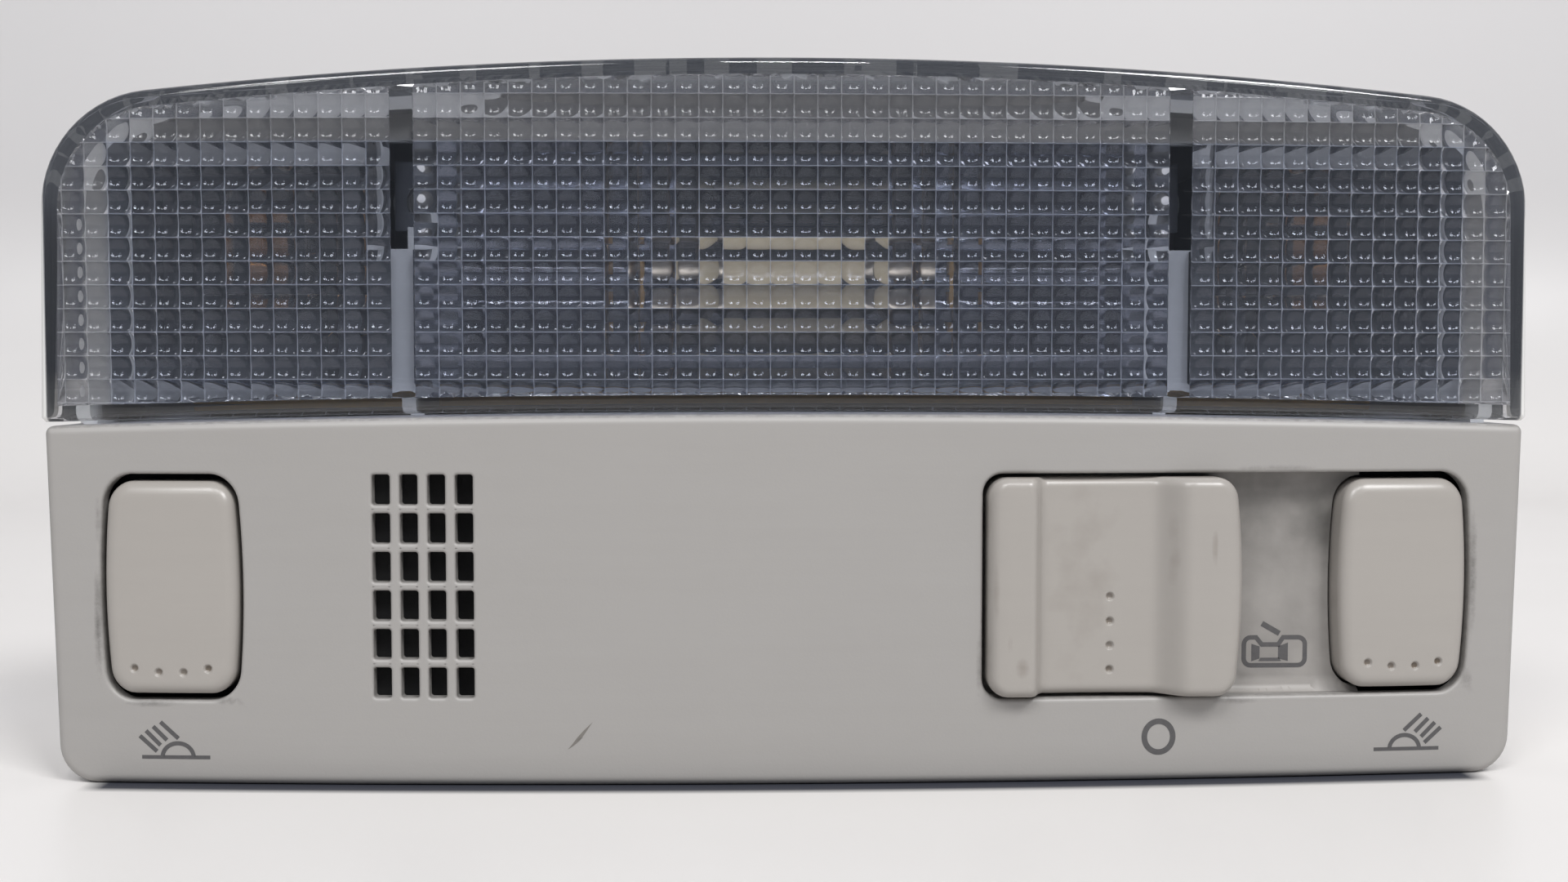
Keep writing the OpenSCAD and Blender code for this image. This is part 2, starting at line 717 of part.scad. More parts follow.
module centre_reflector() {
    long = 2 * (centre_half - shade_gap);
    mid = (chamber_z0 + chamber_z1) / 2;
    rim = 1.2;
    color("silver") difference() {
        union() {
            translate([-long / 2, face_y + deck_d, mid]) rotate([90, 0, 90])
                linear_extrude(long) intersection() {
                    trough_section(shade_t);
                    translate([0, -case_h]) square([case_d, 2 * case_h]);
                }
            difference() {
                block(bare_w / 2 - bare_x, bare_x - bare_w / 2, chamber_z0 - rim, chamber_z1 + rim,
                      deck_d - shade_t, deck_d + eps);
                for (s = [-1, 1]) well_space(s);
            }
        }
        translate([-long / 2 + shade_t, face_y + deck_d, mid]) rotate([90, 0, 90])
            linear_extrude(long - 2 * shade_t) trough_section(0);
        for (s = [-1, 1]) {
            x = s * (festoon_half + clip_t);
            block(x - 1.5, x + 1.5, festoon_z - 4, festoon_z + 4, festoon_d, reflector_d + beyond);
        }
    }
}

module festoon_glass() {
    r = festoon_dia / 2;
    neck = cap_dia / 2 - 0.5;
    shoulder = 4;
    color("beige", 0.6) translate([0, face_y + festoon_d, festoon_z]) rotate([0, 90, 0]) rotate_extrude()
        polygon([
            [neck, -glass_half], [r, shoulder - glass_half],
            [r, glass_half - shoulder], [neck, glass_half],
            [neck - glass_t, glass_half], [r - glass_t, glass_half - shoulder],
            [r - glass_t, shoulder - glass_half], [neck - glass_t, -glass_half]
        ]);
}

// Cap on one end of the centre lamp, with its rounded tip
module festoon_cap(side) {
    r = cap_dia / 2;
    tip = 1.6;
    color("tan") translate([0, face_y + festoon_d, festoon_z]) rotate([0, side * 90, 0]) rotate_extrude()
        polygon([
            [0, glass_half], [r, glass_half], [r, festoon_half - tip - 1.2],
            [tip, festoon_half - tip], [tip * 0.7, festoon_half], [0, festoon_half]
        ]);
}

module festoon_filament() {
    color("dimgray") translate([0, face_y + festoon_d, festoon_z]) rotate([0, 90, 0]) {
        cylinder(r = 0.2, h = 2 * glass_half, center = true);
        cylinder(r = 0.5, h = glass_half, center = true);
    }
}

// Spring clip with a hole that the tip of the cap snaps into
module festoon_clip(side) {
    x = side * (festoon_half - clip_t);
    foot_d = reflector_d + 2;
    color("goldenrod") difference() {
        union() {
            block(x - clip_t / 2, x + clip_t / 2, festoon_z - 3.5, festoon_z + 3.5, festoon_d - 5, hollow_d);
            block(min(x, x + side * 6), max(x, x + side * 6), festoon_z - 3.5, festoon_z + 3.5,
                  hollow_d - clip_t, hollow_d);
        }
        translate([x, face_y + festoon_d, festoon_z]) rotate([0, 90, 0])
            cylinder(d = cap_dia * 0.62, h = 4 * clip_t, center = true);
    }
}

// Side chambers

module reading_shade(side) {
    x0 = side > 0 ? side_in + shade_gap : -side_out + shade_gap;
    x1 = side > 0 ? side_out - shade_gap : -side_in - shade_gap;
    z0 = chamber_z0 + shade_gap;
    z1 = chamber_z0 + side_h - shade_gap;
    rim = 1.2;
    color("dimgray") difference() {
        intersection() {
            union() {
                block(x0, x1, z0, z1, deck_d - shade_t, shade_d);
                difference() {
                    block(side > 0 ? bare_x + bare_w / 2 : x0 - rim, side > 0 ? x1 + rim : -bare_x - bare_w / 2,
                          z0 - rim, z1 + rim, deck_d - shade_t, deck_d);
                    well_space(side);
                }
            }
            slab(deck_d - 2 * shade_t, case_d) housing_outline(housing_t + play);
        }
        block(x0 + shade_t, x1 - shade_t, z0 + shade_t, z1 - shade_t, deck_d - beyond, shade_d - shade_t);
        socket_space(side, play);
    }
}

// Space of the socket of a reading lamp
module socket_space(side, grow) {
    x = side * reading_x;
    z0 = chamber_z0 + shade_gap + shade_t;
    block(x - socket_w / 2 - grow, x + socket_w / 2 + grow, z0 - grow - (grow > 0 ? beyond : 0),
          z0 + socket_h + grow, reading_d - 5 - grow, hollow_d);
}

module lamp_socket(side) {
    z0 = chamber_z0 + shade_gap + shade_t;
    color("darkslategray") difference() {
        socket_space(side, 0);
        translate([side * reading_x, face_y + reading_d, z0 + socket_h - 4])
            cylinder(d = reading_dia - 2, h = 4 + beyond);
    }
}

// Glass of a wedge lamp: a round bulb on a flat pinched foot
module reading_lamp(side) {
    z0 = chamber_z0 + shade_gap + shade_t + socket_h;
    r = reading_dia / 2;
    color("gold", 0.6) translate([side * reading_x, face_y + reading_d, z0]) {
        translate([0, 0, play]) cylinder(d = reading_dia, h = reading_l - r);
        translate([0, 0, play + reading_l - r]) sphere(r = r);
        translate([0, 0, -3.6]) cylinder(d = reading_dia - 3, h = 4.6);
    }
}

// Copper strip that rises behind a reading lamp and folds over above it
module contact_strip(side) {
    x = side * reading_x;
    back = shade_d - shade_t;
    z0 = chamber_z0 + shade_gap + shade_t + socket_h + play;
    z1 = z0 + reading_l - 4;
    flap = 3;
    slope = 35;
    color("peru") translate([x - strip_w / 2, face_y, 0]) rotate([90, 0, 90]) linear_extrude(strip_w)
        polygon([
            [back, z0], [back, z1], [back - flap * cos(slope), z1 - flap * sin(slope)],
            [back - flap * cos(slope), z1 - flap * sin(slope) - strip_t],
            [back - strip_t, z1 - strip_t * (1 + tan(slope))], [back - strip_t, z0]
        ]);
}

// Fixing

module screw_plate(side) {
    x = side * fix_spacing / 2;
    color("silver") difference() {
        block(x - 4, x + 4, fix_z - boss_dia / 2 + 0.6, fix_z + boss_dia / 2 + 1, boss_start - plate_t, boss_start);
        rod_y(x, fix_z, fix_dia + 0.4, boss_start - beyond, boss_start + beyond);
    }
}

// Push buttons

// Outline of a button with bowed sides: its upper half, then its lower half
function button_path(side, inset) = let (
    w = button_w / 2 - inset,
    h = button_h / 2 - inset,
    r = button_r - inset,
    cx = w - button_bow - r,
    upper = concat(
        [[-w, h / 6], [-w + button_bow / 3, h / 2]],
        [for (a = [180, 157.5, 135, 112.5, 90]) corner_point(-cx, h - r, r, a)],
        [for (a = [90, 67.5, 45, 22.5, 0]) corner_point(cx, h - r, r, a)],
        [[w - button_bow / 3, h / 2], [w, h / 6]]
    ),
    middle = [side * button_x, (button_z0 + button_z1) / 2]
) concat(
    [for (p = upper) middle + p],
    [for (i = [len(upper) - 1:-1:0]) middle + [upper[i][0], -upper[i][1]]]
);

module button(side) {
    x = side * button_x;
    z_mid = (button_z0 + button_z1) / 2;
    rib = plunger_dia * 0.7;
    color("whitesmoke") {
        difference() {
            crowned_block([for (a = edge_turns) button_path(side, button_edge * (1 - sin(a)))],
                          button_edge, function (x) crown(x) - button_proud, pivot_d - 0.4);
            slab(crown(button_x) + button_t, pivot_d)
                round_rect(x, z_mid, button_w - 2 * button_t - 0.6, button_h - 2 * button_t, 1.5);
            for (i = [-1.5:1:1.5]) {
                dot_x = x + i * dot_pitch;
                up = dot_up + (abs(i) > 1 ? dot_d : 0);
                rod_y(dot_x, button_z0 + up, dot_dia, -beyond, crown(dot_x) - button_proud + dot_d);
            }
        }
        block(x - rib / 2, x + rib / 2, press_z - rib / 2, press_z + rib / 2, crown(button_x), press_d - play);
        for (s = [-1, 1]) translate([x + s * (button_w / 2 - button_t), face_y + pivot_d, pivot_z])
            rotate([0, s * 90, 0]) cylinder(d = pivot_dia, h = button_t + stub_l - 0.4);
        for (s = [-1, 1]) translate([x + s * (button_w / 2 - button_t * 0.8), face_y + pivot_d, pivot_z])
            rotate([0, s * 90, 0]) cylinder(d = pivot_dia + 1, h = button_t * 0.6);
    }
}

module plunger(side) {
    color("white") rod_y(side * button_x, press_z, plunger_dia, press_d, carrier_d + carrier_t + 5);
}

module push_switch(side) {
    x = side * button_x;
    half = 6;
    bore = 8;
    front = carrier_d + carrier_t;
    color("darkslategray") difference() {
        block(x - half, x + half, press_z - half, press_z + half, front, front + 2 * half);
        rod_y(x, press_z, plunger_dia + 2 * play, front - beyond, front + bore);
    }
}

// Slide switch

// Smooth step from 0 at a to 1 at b
function ease(u, a, b) = let (t = min(max((u - a) / (b - a), 0), 1)) t * t * (3 - 2 * t);
// Depth of the face of the knob: a hollow between two ridges
function knob_face(x) = let (u = x - knob_x0)
    hollow_h * ease(u, ridge_left - 1.2, ridge_left + 1.5)
    * (1 - ease(u, knob_w - ridge_right - 4.5, knob_w - ridge_right + 2.4)) - knob_proud;

// Outline of the knob: its upper half, then its lower half
function knob_path(inset) = let (
    w = knob_w / 2 - inset,
    h = knob_h / 2 - inset,
    r = knob_r - inset,
    upper = concat(
        [for (a = [180, 157.5, 135, 112.5]) corner_point(r - w, h - r, r, a)],
        [for (x = steps(r - w, w - r, crown_steps)) [x, h]],
        [for (a = [67.5, 45, 22.5, 0]) corner_point(w - r, h - r, r, a)]
    )
) concat(
    [for (p = upper) [knob_x + p[0], knob_z + p[1]]],
    [for (i = [len(upper) - 1:-1:0]) [knob_x + upper[i][0], knob_z - upper[i][1]]]
);

module slide_knob() {
    wall = 1.5;
    dot_x = knob_x - 0.5;
    color("whitesmoke") {
        difference() {
            crowned_block([for (a = edge_turns) knob_path(knob_edge * (1 - sin(a)))], knob_edge,
                          function (x) knob_face(x), recess_d - play);
            slab(hollow_h + 1, recess_d)
                round_rect(knob_x, knob_z, knob_w - 2 * wall, knob_h - 2 * wall, 1);
            for (i = [0:3])
                rod_y(dot_x, knob_z0 + dot_up + i * dot_pitch, dot_dia, -knob_proud - beyond,
                      knob_face(dot_x) + dot_d);
        }
        block(knob_x - stem_w / 2, knob_x + stem_w / 2, knob_z - stem_h / 2, knob_z + stem_h / 2,
              hollow_h, carriage_d);
    }
}

module slide_carriage() {
    color("white") {
        block(knob_x - carriage_w / 2, knob_x + carriage_w / 2, knob_z - carriage_h / 2,
              knob_z + carriage_h / 2, carriage_d, carriage_d + carriage_t);
        translate([knob_x, face_y + carriage_d, knob_z + carriage_h / 2]) rotate([-90, 0, 0])
            cylinder(r = nose_r, h = carriage_t);
    }
}

module contact_bridge() {
    d0 = carriage_d + carriage_t;
    half = 6;
    h = 3;
    apart = 5;
    color("goldenrod") for (s = [-1, 1])
        block(knob_x - half, knob_x + half, knob_z + s * apart - h / 2, knob_z + s * apart + h / 2,
              d0, d0 + bridge_t);
}

// Leaf with one hollow for each of the three positions of the knob
module detent_spring() {
    step = knob_travel / 2;
    x0 = knob_x - step * 0.7;
    x1 = knob_x + knob_travel + step * 0.7;
    wave = [for (x = steps(x0, x1, 48)) [x, leaf_z - leaf_wave + leaf_wave * cos(360 * (x - knob_x) / step)]];
    color("silver") slab(carriage_d, board_d) polygon(concat(
        wave, [for (i = [len(wave) - 1:-1:0]) [wave[i][0], wave[i][1] + leaf_t]]
    ));
}

module circuit_board() {
    over = carriage_w / 2 + 2;
    color("darkgreen") block(knob_x - over, knob_x + knob_travel + over, knob_z - carriage_h / 2,
                             knob_z + carriage_h / 2, board_d, carrier_d);
}

// Switch carrier

// Ear that holds one pivot stub of a button
module pivot_ear(x) {
    ear_r = pivot_dia / 2 + 0.65;
    translate([x - ear_t / 2, face_y + pivot_d, pivot_z]) rotate([0, 90, 0])
        cylinder(r = ear_r, h = ear_t);
    block(x - ear_t / 2, x + ear_t / 2, pivot_z - ear_r, pivot_z + ear_r, pivot_d, carrier_d + eps);
}

module switch_carrier() {
    half = inner_half - play;
    low = cover_t + skirt_gap + housing_t + play;
    high = seam_low - 4;
    ear_x = button_w / 2 + stub_l - 0.4 - ear_t / 2;
    rail = carriage_h / 2 + play;
    rail_t = 1.5;
    holder = 4;
    color("darkslategray") difference() {
        union() {
            slab(carrier_d, carrier_d + carrier_t)
                round_rect(0, (low + high) / 2, 2 * half, high - low, 2);
            for (s = [-1, 1], e = [-1, 1]) pivot_ear(s * button_x + e * ear_x);
            block(knob_x - carriage_w / 2, knob_x + carriage_w / 2 + knob_travel, knob_z - rail - rail_t,
                  knob_z - rail, carriage_d, carrier_d + eps);
            block(knob_x - holder, knob_x + knob_travel + holder, leaf_z + leaf_t,
                  leaf_z + leaf_t + rail_t, carriage_d, carrier_d + eps);
        }
        for (s = [-1, 1], e = [-1, 1])
            translate([s * button_x + e * ear_x - beyond, face_y + pivot_d, pivot_z]) rotate([0, 90, 0])
                cylinder(d = pivot_dia + 2 * pivot_gap, h = 2 * beyond);
        for (s = [-1, 1])
            rod_y(s * button_x, press_z, plunger_dia + 2 * play, carrier_d - beyond, carrier_d + carrier_t + beyond);
        for (p = posts)
            rod_y(p[0], p[1], screw_dia + 0.4, carrier_d - beyond, carrier_d + carrier_t + beyond);
    }
}

module carrier_screws() {
    head_d = carrier_d + carrier_t;
    color("silver") for (p = posts) {
        rod_y(p[0], p[1], screw_dia - 0.1, carrier_d - 4, head_d + eps);
        rod_y(p[0], p[1], 2 * screw_dia, head_d, head_d + 1.6);
    }
}

// Microphone

module mic_felt() {
    color("black")
        block(mic_x - grille_w / 2 - 1, mic_x + grille_w / 2 + 1, mic_z - grille_h / 2 - 1,
              mic_z + grille_h / 2 + 1, felt_d, felt_d + felt_t);
}

module mic_holder() {
    w = grille_w / 2 + 1.5;
    h = grille_h / 2 + 0.8;
    color("darkslategray") difference() {
        block(mic_x - w, mic_x + w, mic_z - h, mic_z + h, felt_d + felt_t, carrier_d);
        rod_y(mic_x, mic_z, capsule_dia + 0.4, felt_d, carrier_d - 1);
    }
}

module mic_capsule() {
    color("gray") rod_y(mic_x, mic_z, capsule_dia, felt_d + felt_t + 0.2, carrier_d - 1);
}

// Connector

module connector_shell() {
    color("darkslategray") difference() {
        union() {
            slab(housing_d, case_d) round_rect(plug_x, plug_z, plug_w, plug_h, 1.5);
            slab(hollow_d - 2, housing_d + eps)
                round_rect(plug_x, plug_z, plug_w - plug_step - 0.4, plug_h - plug_step - 0.4, 0.8);
        }
        slab(housing_d + plug_wall, case_d + beyond)
            round_rect(plug_x, plug_z, plug_w - 2 * plug_wall, plug_h - 2 * plug_wall, 0.8);
        pin_row(0.05, hollow_d - 3, case_d);
    }
}

module pin_row(grow, d0, d1) {
    pitch = (plug_w - 8) / (pins - 1);
    for (i = [0:pins - 1]) {
        x = plug_x + (i - (pins - 1) / 2) * pitch;
        block(x - pin_w / 2 - grow, x + pin_w / 2 + grow, plug_z - pin_t / 2 - grow, plug_z + pin_t / 2 + grow,
              d0, d1);
    }
}

module connector_pins() {
    color("goldenrod") pin_row(0, hollow_d - 4, case_d - 1.5);
}

// Stamped bars on the floor of the housing that feed the lamps
module supply_bar() {
    color("goldenrod")
        block(4 - side_out, side_out - 4, bar_z, bar_z + strip_w, hollow_d - strip_t, hollow_d);
}

module earth_bar() {
    z = divider_top - housing_t - 2 - strip_w;
    color("goldenrod") block(-inner_half + 8, inner_half - 8, z, z + strip_w, hollow_d - strip_t, hollow_d);
}

front_cover();
lens();
rear_housing();
centre_reflector();
festoon_glass();
festoon_cap(-1);  // festoon_cap_left
festoon_cap(1);  // festoon_cap_right
festoon_filament();
festoon_clip(-1);  // festoon_clip_left
festoon_clip(1);  // festoon_clip_right
reading_shade(-1);  // reading_shade_left
reading_shade(1);  // reading_shade_right
reading_lamp(-1);  // reading_lamp_left
reading_lamp(1);  // reading_lamp_right
lamp_socket(-1);  // lamp_socket_left
lamp_socket(1);  // lamp_socket_right
contact_strip(-1);  // contact_strip_left
contact_strip(1);  // contact_strip_right
button(-1);  // button_left
button(1);  // button_right
plunger(-1);  // plunger_left
plunger(1);  // plunger_right
push_switch(-1);  // push_switch_left
push_switch(1);  // push_switch_right
slide_knob();
slide_carriage();
contact_bridge();
detent_spring();
circuit_board();
switch_carrier();
carrier_screws();
mic_felt();
mic_holder();
mic_capsule();
connector_shell();
connector_pins();
screw_plate(-1);  // screw_plate_left
screw_plate(1);  // screw_plate_right
supply_bar();
earth_bar();
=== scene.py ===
"""Interior dome light for a car roof, standing on its lower long edge.

X runs to the right, Y into the roof and Z up. Sizes are in millimetres, and the meshes take them in
metres. A depth is measured backwards from the foremost point of the crowned face.
"""
import math
import bpy
import numpy as np
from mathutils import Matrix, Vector
from mathutils.geometry import delaunay_2d_cdt


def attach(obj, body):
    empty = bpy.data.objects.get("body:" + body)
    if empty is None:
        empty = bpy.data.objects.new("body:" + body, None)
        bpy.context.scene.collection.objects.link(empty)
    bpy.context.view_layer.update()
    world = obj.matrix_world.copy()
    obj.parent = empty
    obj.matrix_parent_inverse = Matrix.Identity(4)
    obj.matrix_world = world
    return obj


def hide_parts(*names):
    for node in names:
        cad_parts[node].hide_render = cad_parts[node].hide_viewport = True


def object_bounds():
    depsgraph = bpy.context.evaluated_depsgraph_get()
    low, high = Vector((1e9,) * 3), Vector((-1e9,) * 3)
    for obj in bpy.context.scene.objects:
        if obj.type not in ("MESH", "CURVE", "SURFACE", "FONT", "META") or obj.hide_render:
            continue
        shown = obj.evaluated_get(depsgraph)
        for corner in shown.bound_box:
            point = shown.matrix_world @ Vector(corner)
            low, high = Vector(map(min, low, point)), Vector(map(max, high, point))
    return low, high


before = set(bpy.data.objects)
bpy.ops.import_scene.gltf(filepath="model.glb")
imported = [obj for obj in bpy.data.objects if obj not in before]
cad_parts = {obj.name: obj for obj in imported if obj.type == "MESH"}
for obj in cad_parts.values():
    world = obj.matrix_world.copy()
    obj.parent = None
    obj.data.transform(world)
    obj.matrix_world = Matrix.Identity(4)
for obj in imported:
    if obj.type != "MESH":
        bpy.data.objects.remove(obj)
cad_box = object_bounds()

# Sizes of the case
MM = 0.001
KNOB_PROUD = 1.8
FACE_Y = cad_box[0][1] / MM + KNOB_PROUD
COVER_HALF = 95.6
FOOT_HALF = 94.6
LENS_HALF = 96.1
LENS_TAPER = 0.5
CASE_H = 92.4
CROWN_R = 1175.0
TOP_R = 850.0
CORNER_R = 15.0
FOOT_R = 5.0
SEAM_Z = 47.7
SEAM_R = 3000.0
SEAM_GAP = 0.5
EDGE_R = 1.2
EDGE_GUARD = 0.4
SKIRT_D = 16.0
COVER_T = 2.0
LENS_T = 2.0
LENS_SEAT = 0.2

# Sizes of the controls and of their openings
BUTTON_X = 79.35
BUTTON_Z0, BUTTON_Z1 = 11.75, 39.0
BUTTON_CZ, BUTTON_H = (BUTTON_Z0 + BUTTON_Z1) / 2, BUTTON_Z1 - BUTTON_Z0
BUTTON_W = 17.2
BUTTON_R = 3.1
BUTTON_BOW = 0.4
BUTTON_GAP = 0.55
BUTTON_PROUD = 0.8
BUTTON_BACK = 7.4
RECESS_X0 = 24.1
RECESS_Z0, RECESS_Z1 = 10.9, 39.9
RECESS_D = 5.2
RECESS_T = 1.4
RECESS_R, POCKET_R = 2.6, 1.5
KNOB_X0, KNOB_W = 24.65, 32.75
KNOB_Z0, KNOB_Z1 = 11.3, 39.4
KNOB_CX, KNOB_CZ = KNOB_X0 + KNOB_W / 2, (KNOB_Z0 + KNOB_Z1) / 2
KNOB_H = KNOB_Z1 - KNOB_Z0
KNOB_R = 2.6
KNOB_BOW = 1.0
KNOB_ROOM = 0.3
DIMPLE_R, DIMPLE_D = 0.56, 0.42
HOLE_Z, HOLE_H = (RECESS_Z0 + RECESS_Z1) / 2, RECESS_Z1 - RECESS_Z0
HOLE_W = BUTTON_W + 2 * BUTTON_GAP
HOLE_LIP, SLOT_LIP = 0.5, 0.42
GRILLE_X, GRILLE_Z = -47.15, 25.6
SLOT_PITCH_X, SLOT_PITCH_Z = 3.52, 4.93
SLOT_W, SLOT_H, SLOT_R = 2.25, 3.9, 0.35

# Sizes of the optics and the lamps
PILLOW = 3.0
PILLOW_TOP_Z = 87.9
PILLOW_R = 3.4
STRIP_IN, STRIP_OUT = 48.0, 51.0
LAMP_Z, LAMP_D = 64.5, 20.0
READING_X, READING_Z, READING_D = 70.0, 62.4, 22.0

# Room that the eye doesn't see, between the recess and its opening and behind a print
HAIR = 0.02

# Points nearer than this are one, and triangles of a smaller area, doubled, are left out
MERGE, SLIVER = 1e-7, 1e-9

# Points round a turned piece, along the arched edge, and round a corner of it
TURN_STEPS, ARC_STEPS, CORNER_STEPS = 48, 72, 14


# Meshes

def crown(x):
    """Depth of the crowned face: a circle of the crown's radius, seen from above."""
    return CROWN_R - np.sqrt(CROWN_R ** 2 - np.asarray(x) ** 2)


def arch(top, radius, x):
    """Height of an arched edge: a circle of the given radius below its top."""
    return top - radius + np.sqrt(radius ** 2 - np.asarray(x) ** 2)


def arc(cx, cz, r, start, end, n):
    """n + 1 points on a circle between two angles in degrees."""
    a = np.radians(np.linspace(start, end, n + 1))
    return np.stack([cx + r * np.cos(a), cz + r * np.sin(a)], 1)


def smooth_step(x, a, b):
    """Runs from 0 at a to 1 at b with level ends."""
    t = np.clip((x - a) / (b - a), 0, 1)
    return t * t * (3 - 2 * t)


def place(xz, depth):
    """Points of the front outline xz at a depth behind the foremost point."""
    xz = np.asarray(xz, float)
    return np.stack([xz[:, 0], FACE_Y + np.broadcast_to(depth, len(xz)), xz[:, 1]], 1)


def pushed(path, distance):
    """A closed path moved outwards, at each point square to the chord between its neighbours."""
    chord = np.roll(path, -1, 0) - np.roll(path, 1, 0)
    ahead = np.roll(path, -1, 0)
    area = np.sum(path[:, 0] * ahead[:, 1] - ahead[:, 0] * path[:, 1])
    out = np.stack([chord[:, 1], -chord[:, 0]], 1) * np.sign(area)
    return path + distance * out / np.linalg.norm(out, axis=1)[:, None]


def inside(points, path):
    """Which points lie inside a closed path, by counting the edges that a ray crosses."""
    x, z = points[:, 0][:, None], points[:, 1][:, None]
    x0, z0 = path[:, 0], path[:, 1]
    x1, z1 = np.roll(x0, -1), np.roll(z0, -1)
    with np.errstate(divide="ignore", invalid="ignore"):
        crossing = x0 + (z - z0) * (x1 - x0) / (z1 - z0)
    return (((z0 > z) != (z1 > z)) & (x < crossing)).sum(1) % 2 == 1


def face_grid(path, dx, dz, keep_out, margin):
    """Grid points inside a path and a margin away from it and from each hole."""
    low, high = path.min(0), path.max(0)
    gx, gz = np.meshgrid(np.arange(low[0], high[0], dx), np.arange(low[1], high[1], dz))
    points = np.stack([gx.ravel(), gz.ravel()], 1)
    keep = inside(points, pushed(path, -margin))
    for hole in keep_out:
        keep &= ~inside(points, pushed(hole, margin))
    return points[keep]


class Shell:
    """Collects rings and faces of one piece, and makes its mesh."""

    def __init__(self):
        self.points, self.faces, self.count = [], [], 0

    def add(self, points):
        first = self.count
        self.points.append(np.asarray(points, float))
        self.count += len(points)
        return np.arange(first, self.count)

    def band(self, a, b, flip=False):
        """Quads between two closed rings with as many points each."""
        quads = np.stack([a, np.roll(a, -1), np.roll(b, -1), b], 1)
        self.faces.extend((quads[:, ::-1] if flip else quads).tolist())

    def strip(self, a, b, flip=False):
        """Quads between two open rows with as many points each."""
        quads = np.stack([a[:-1], a[1:], b[1:], b[:-1]], 1)
        self.faces.extend((quads[:, ::-1] if flip else quads).tolist())

    def rings(self, rings, flip=False):
        """Joins closed rings of points one after another, and returns their numbers."""
        numbers = [self.add(r) for r in rings]
        for a, b in zip(numbers[:-1], numbers[1:]):
            self.band(a, b, flip)
        return numbers

    def fan(self, ring, tip):
        """Closes a ring with triangles that meet in one point."""
        end = self.add([tip])[0]
        self.faces.extend(np.stack([ring, np.roll(ring, -1), np.full(len(ring), end)], 1).tolist())

    def cap(self, outer, holes, depth, inner, flip=False):
        """Fills the space between an outer ring and holes with triangles over extra inner points.

        outer and holes are (path, numbers) pairs, and depth(xz) gives the extra points' depth.
        """
        loops = [outer] + list(holes)
        flat = np.concatenate([path for path, _ in loops] + [inner])
        extra = self.add(place(inner, depth(inner)))
        known = np.concatenate([numbers for _, numbers in loops] + [extra])
        edges, first = [], 0
        for path, _ in loops:
            turn = np.arange(first, first + len(path))
            edges.extend(np.stack([turn, np.roll(turn, -1)], 1).tolist())
            first += len(path)
        result = delaunay_2d_cdt([Vector(p) for p in flat.tolist()], edges, [], 0, MERGE, True)
        source = np.array([known[ids[0]] if ids else -1 for ids in result[3]])
        tris = np.array(result[2])
        side = np.array([tuple(v) for v in result[0]])[tris]
        middle = side.mean(1)
        keep = inside(middle, outer[0])
        for path, _ in holes:
            keep &= ~inside(middle, path)
        turn = np.cross(side[:, 1] - side[:, 0], side[:, 2] - side[:, 0])
        keep &= np.abs(turn) > SLIVER
        numbers = source[np.where((turn < 0)[:, None], tris[:, ::-1], tris)[keep]]
        numbers = numbers[(numbers >= 0).all(1)]
        self.faces.extend((numbers[:, ::-1] if flip else numbers).tolist())

    def finish(self, name, material, slot, body="case", stands_for=(), sharp=40, marks=None):
        """Makes the piece, shades it smooth apart from sharp edges, and puts it on its body."""
        mesh = bpy.data.meshes.new(name)
        points = np.concatenate(self.points)
        mesh.from_pydata((points * MM).tolist(), [], self.faces)
        mesh.update()
        if marks is not None:
            layer = mesh.attributes.new("mark", "FLOAT", "POINT")
            layer.data.foreach_set("value", marks(points).astype(np.float32))
        mesh.polygons.foreach_set("use_smooth", np.ones(len(mesh.polygons), bool))
        mesh.set_sharp_from_angle(angle=math.radians(sharp))
        mesh.materials.append(material)
        piece = bpy.data.objects.new(mesh.name, mesh)
        bpy.context.scene.collection.objects.link(piece)
        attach(piece, body)
        if stands_for:
            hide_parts(*stands_for)


def turned(name, profile, origin, axis, material, **kind):
    """A profile of (distance along the axis, radius) points turned round an axis.

    A point at angle a lies at origin + distance * axis + radius * (cos a * side + sin a * up).
    """
    axis = np.array(axis, float)
    side = np.cross(axis, [0, 0, 1.0]) if abs(axis[2]) < 0.9 else np.array([1.0, 0, 0])
    up = np.cross(side, axis)
    a = np.linspace(0, 2 * math.pi, TURN_STEPS, endpoint=False)
    ring = np.outer(np.cos(a), side) + np.outer(np.sin(a), up)
    shell = Shell()
    shell.rings([np.array(origin) + along * axis + radius * ring for along, radius in profile],
                flip=True)
    shell.finish(name, material, **kind)


# Materials

def linear(code):
    """An sRGB hex colour as linear red, green and blue with full alpha."""
    c = np.array([int(code[i:i + 2], 16) for i in (1, 3, 5)]) / 255
    return tuple(np.where(c <= 0.04045, c / 12.92, ((c + 0.055) / 1.055) ** 2.4)) + (1.0,)


def connect(node, inputs):
    """Sets a node's inputs. A socket or a node's first output is linked, any other is a value."""
    for key, value in inputs.items():
        if isinstance(value, bpy.types.Node):
            value = next(end for end in value.outputs if end.enabled)
        if isinstance(value, bpy.types.NodeSocket):
            node.id_data.links.new(value, node.inputs[key])
        else:
            node.inputs[key].default_value = value
    return node


def add(tree, kind, inputs=None, **settings):
    """Adds a node with its settings and its links."""
    made = tree.nodes.new("ShaderNode" + kind)
    for key, value in settings.items():
        setattr(made, key, value)
    return connect(made, inputs or {})


def new_material(name, colour, roughness, **values):
    """A Principled material. Returns it with its tree, shader and object coordinates."""
    made = bpy.data.materials.new(name)
    made.use_nodes = True
    tree = made.node_tree
    shader = connect(tree.nodes["Principled BSDF"], {
        "Base Color": linear(colour), "Roughness": roughness,
        **{key.replace("_", " "): value for key, value in values.items()}})
    return made, tree, shader, add(tree, "TexCoord").outputs["Object"]


def per_mm(size):
    """Scale of a pattern whose repeat is size millimetres."""
    return 1 / (size * MM)


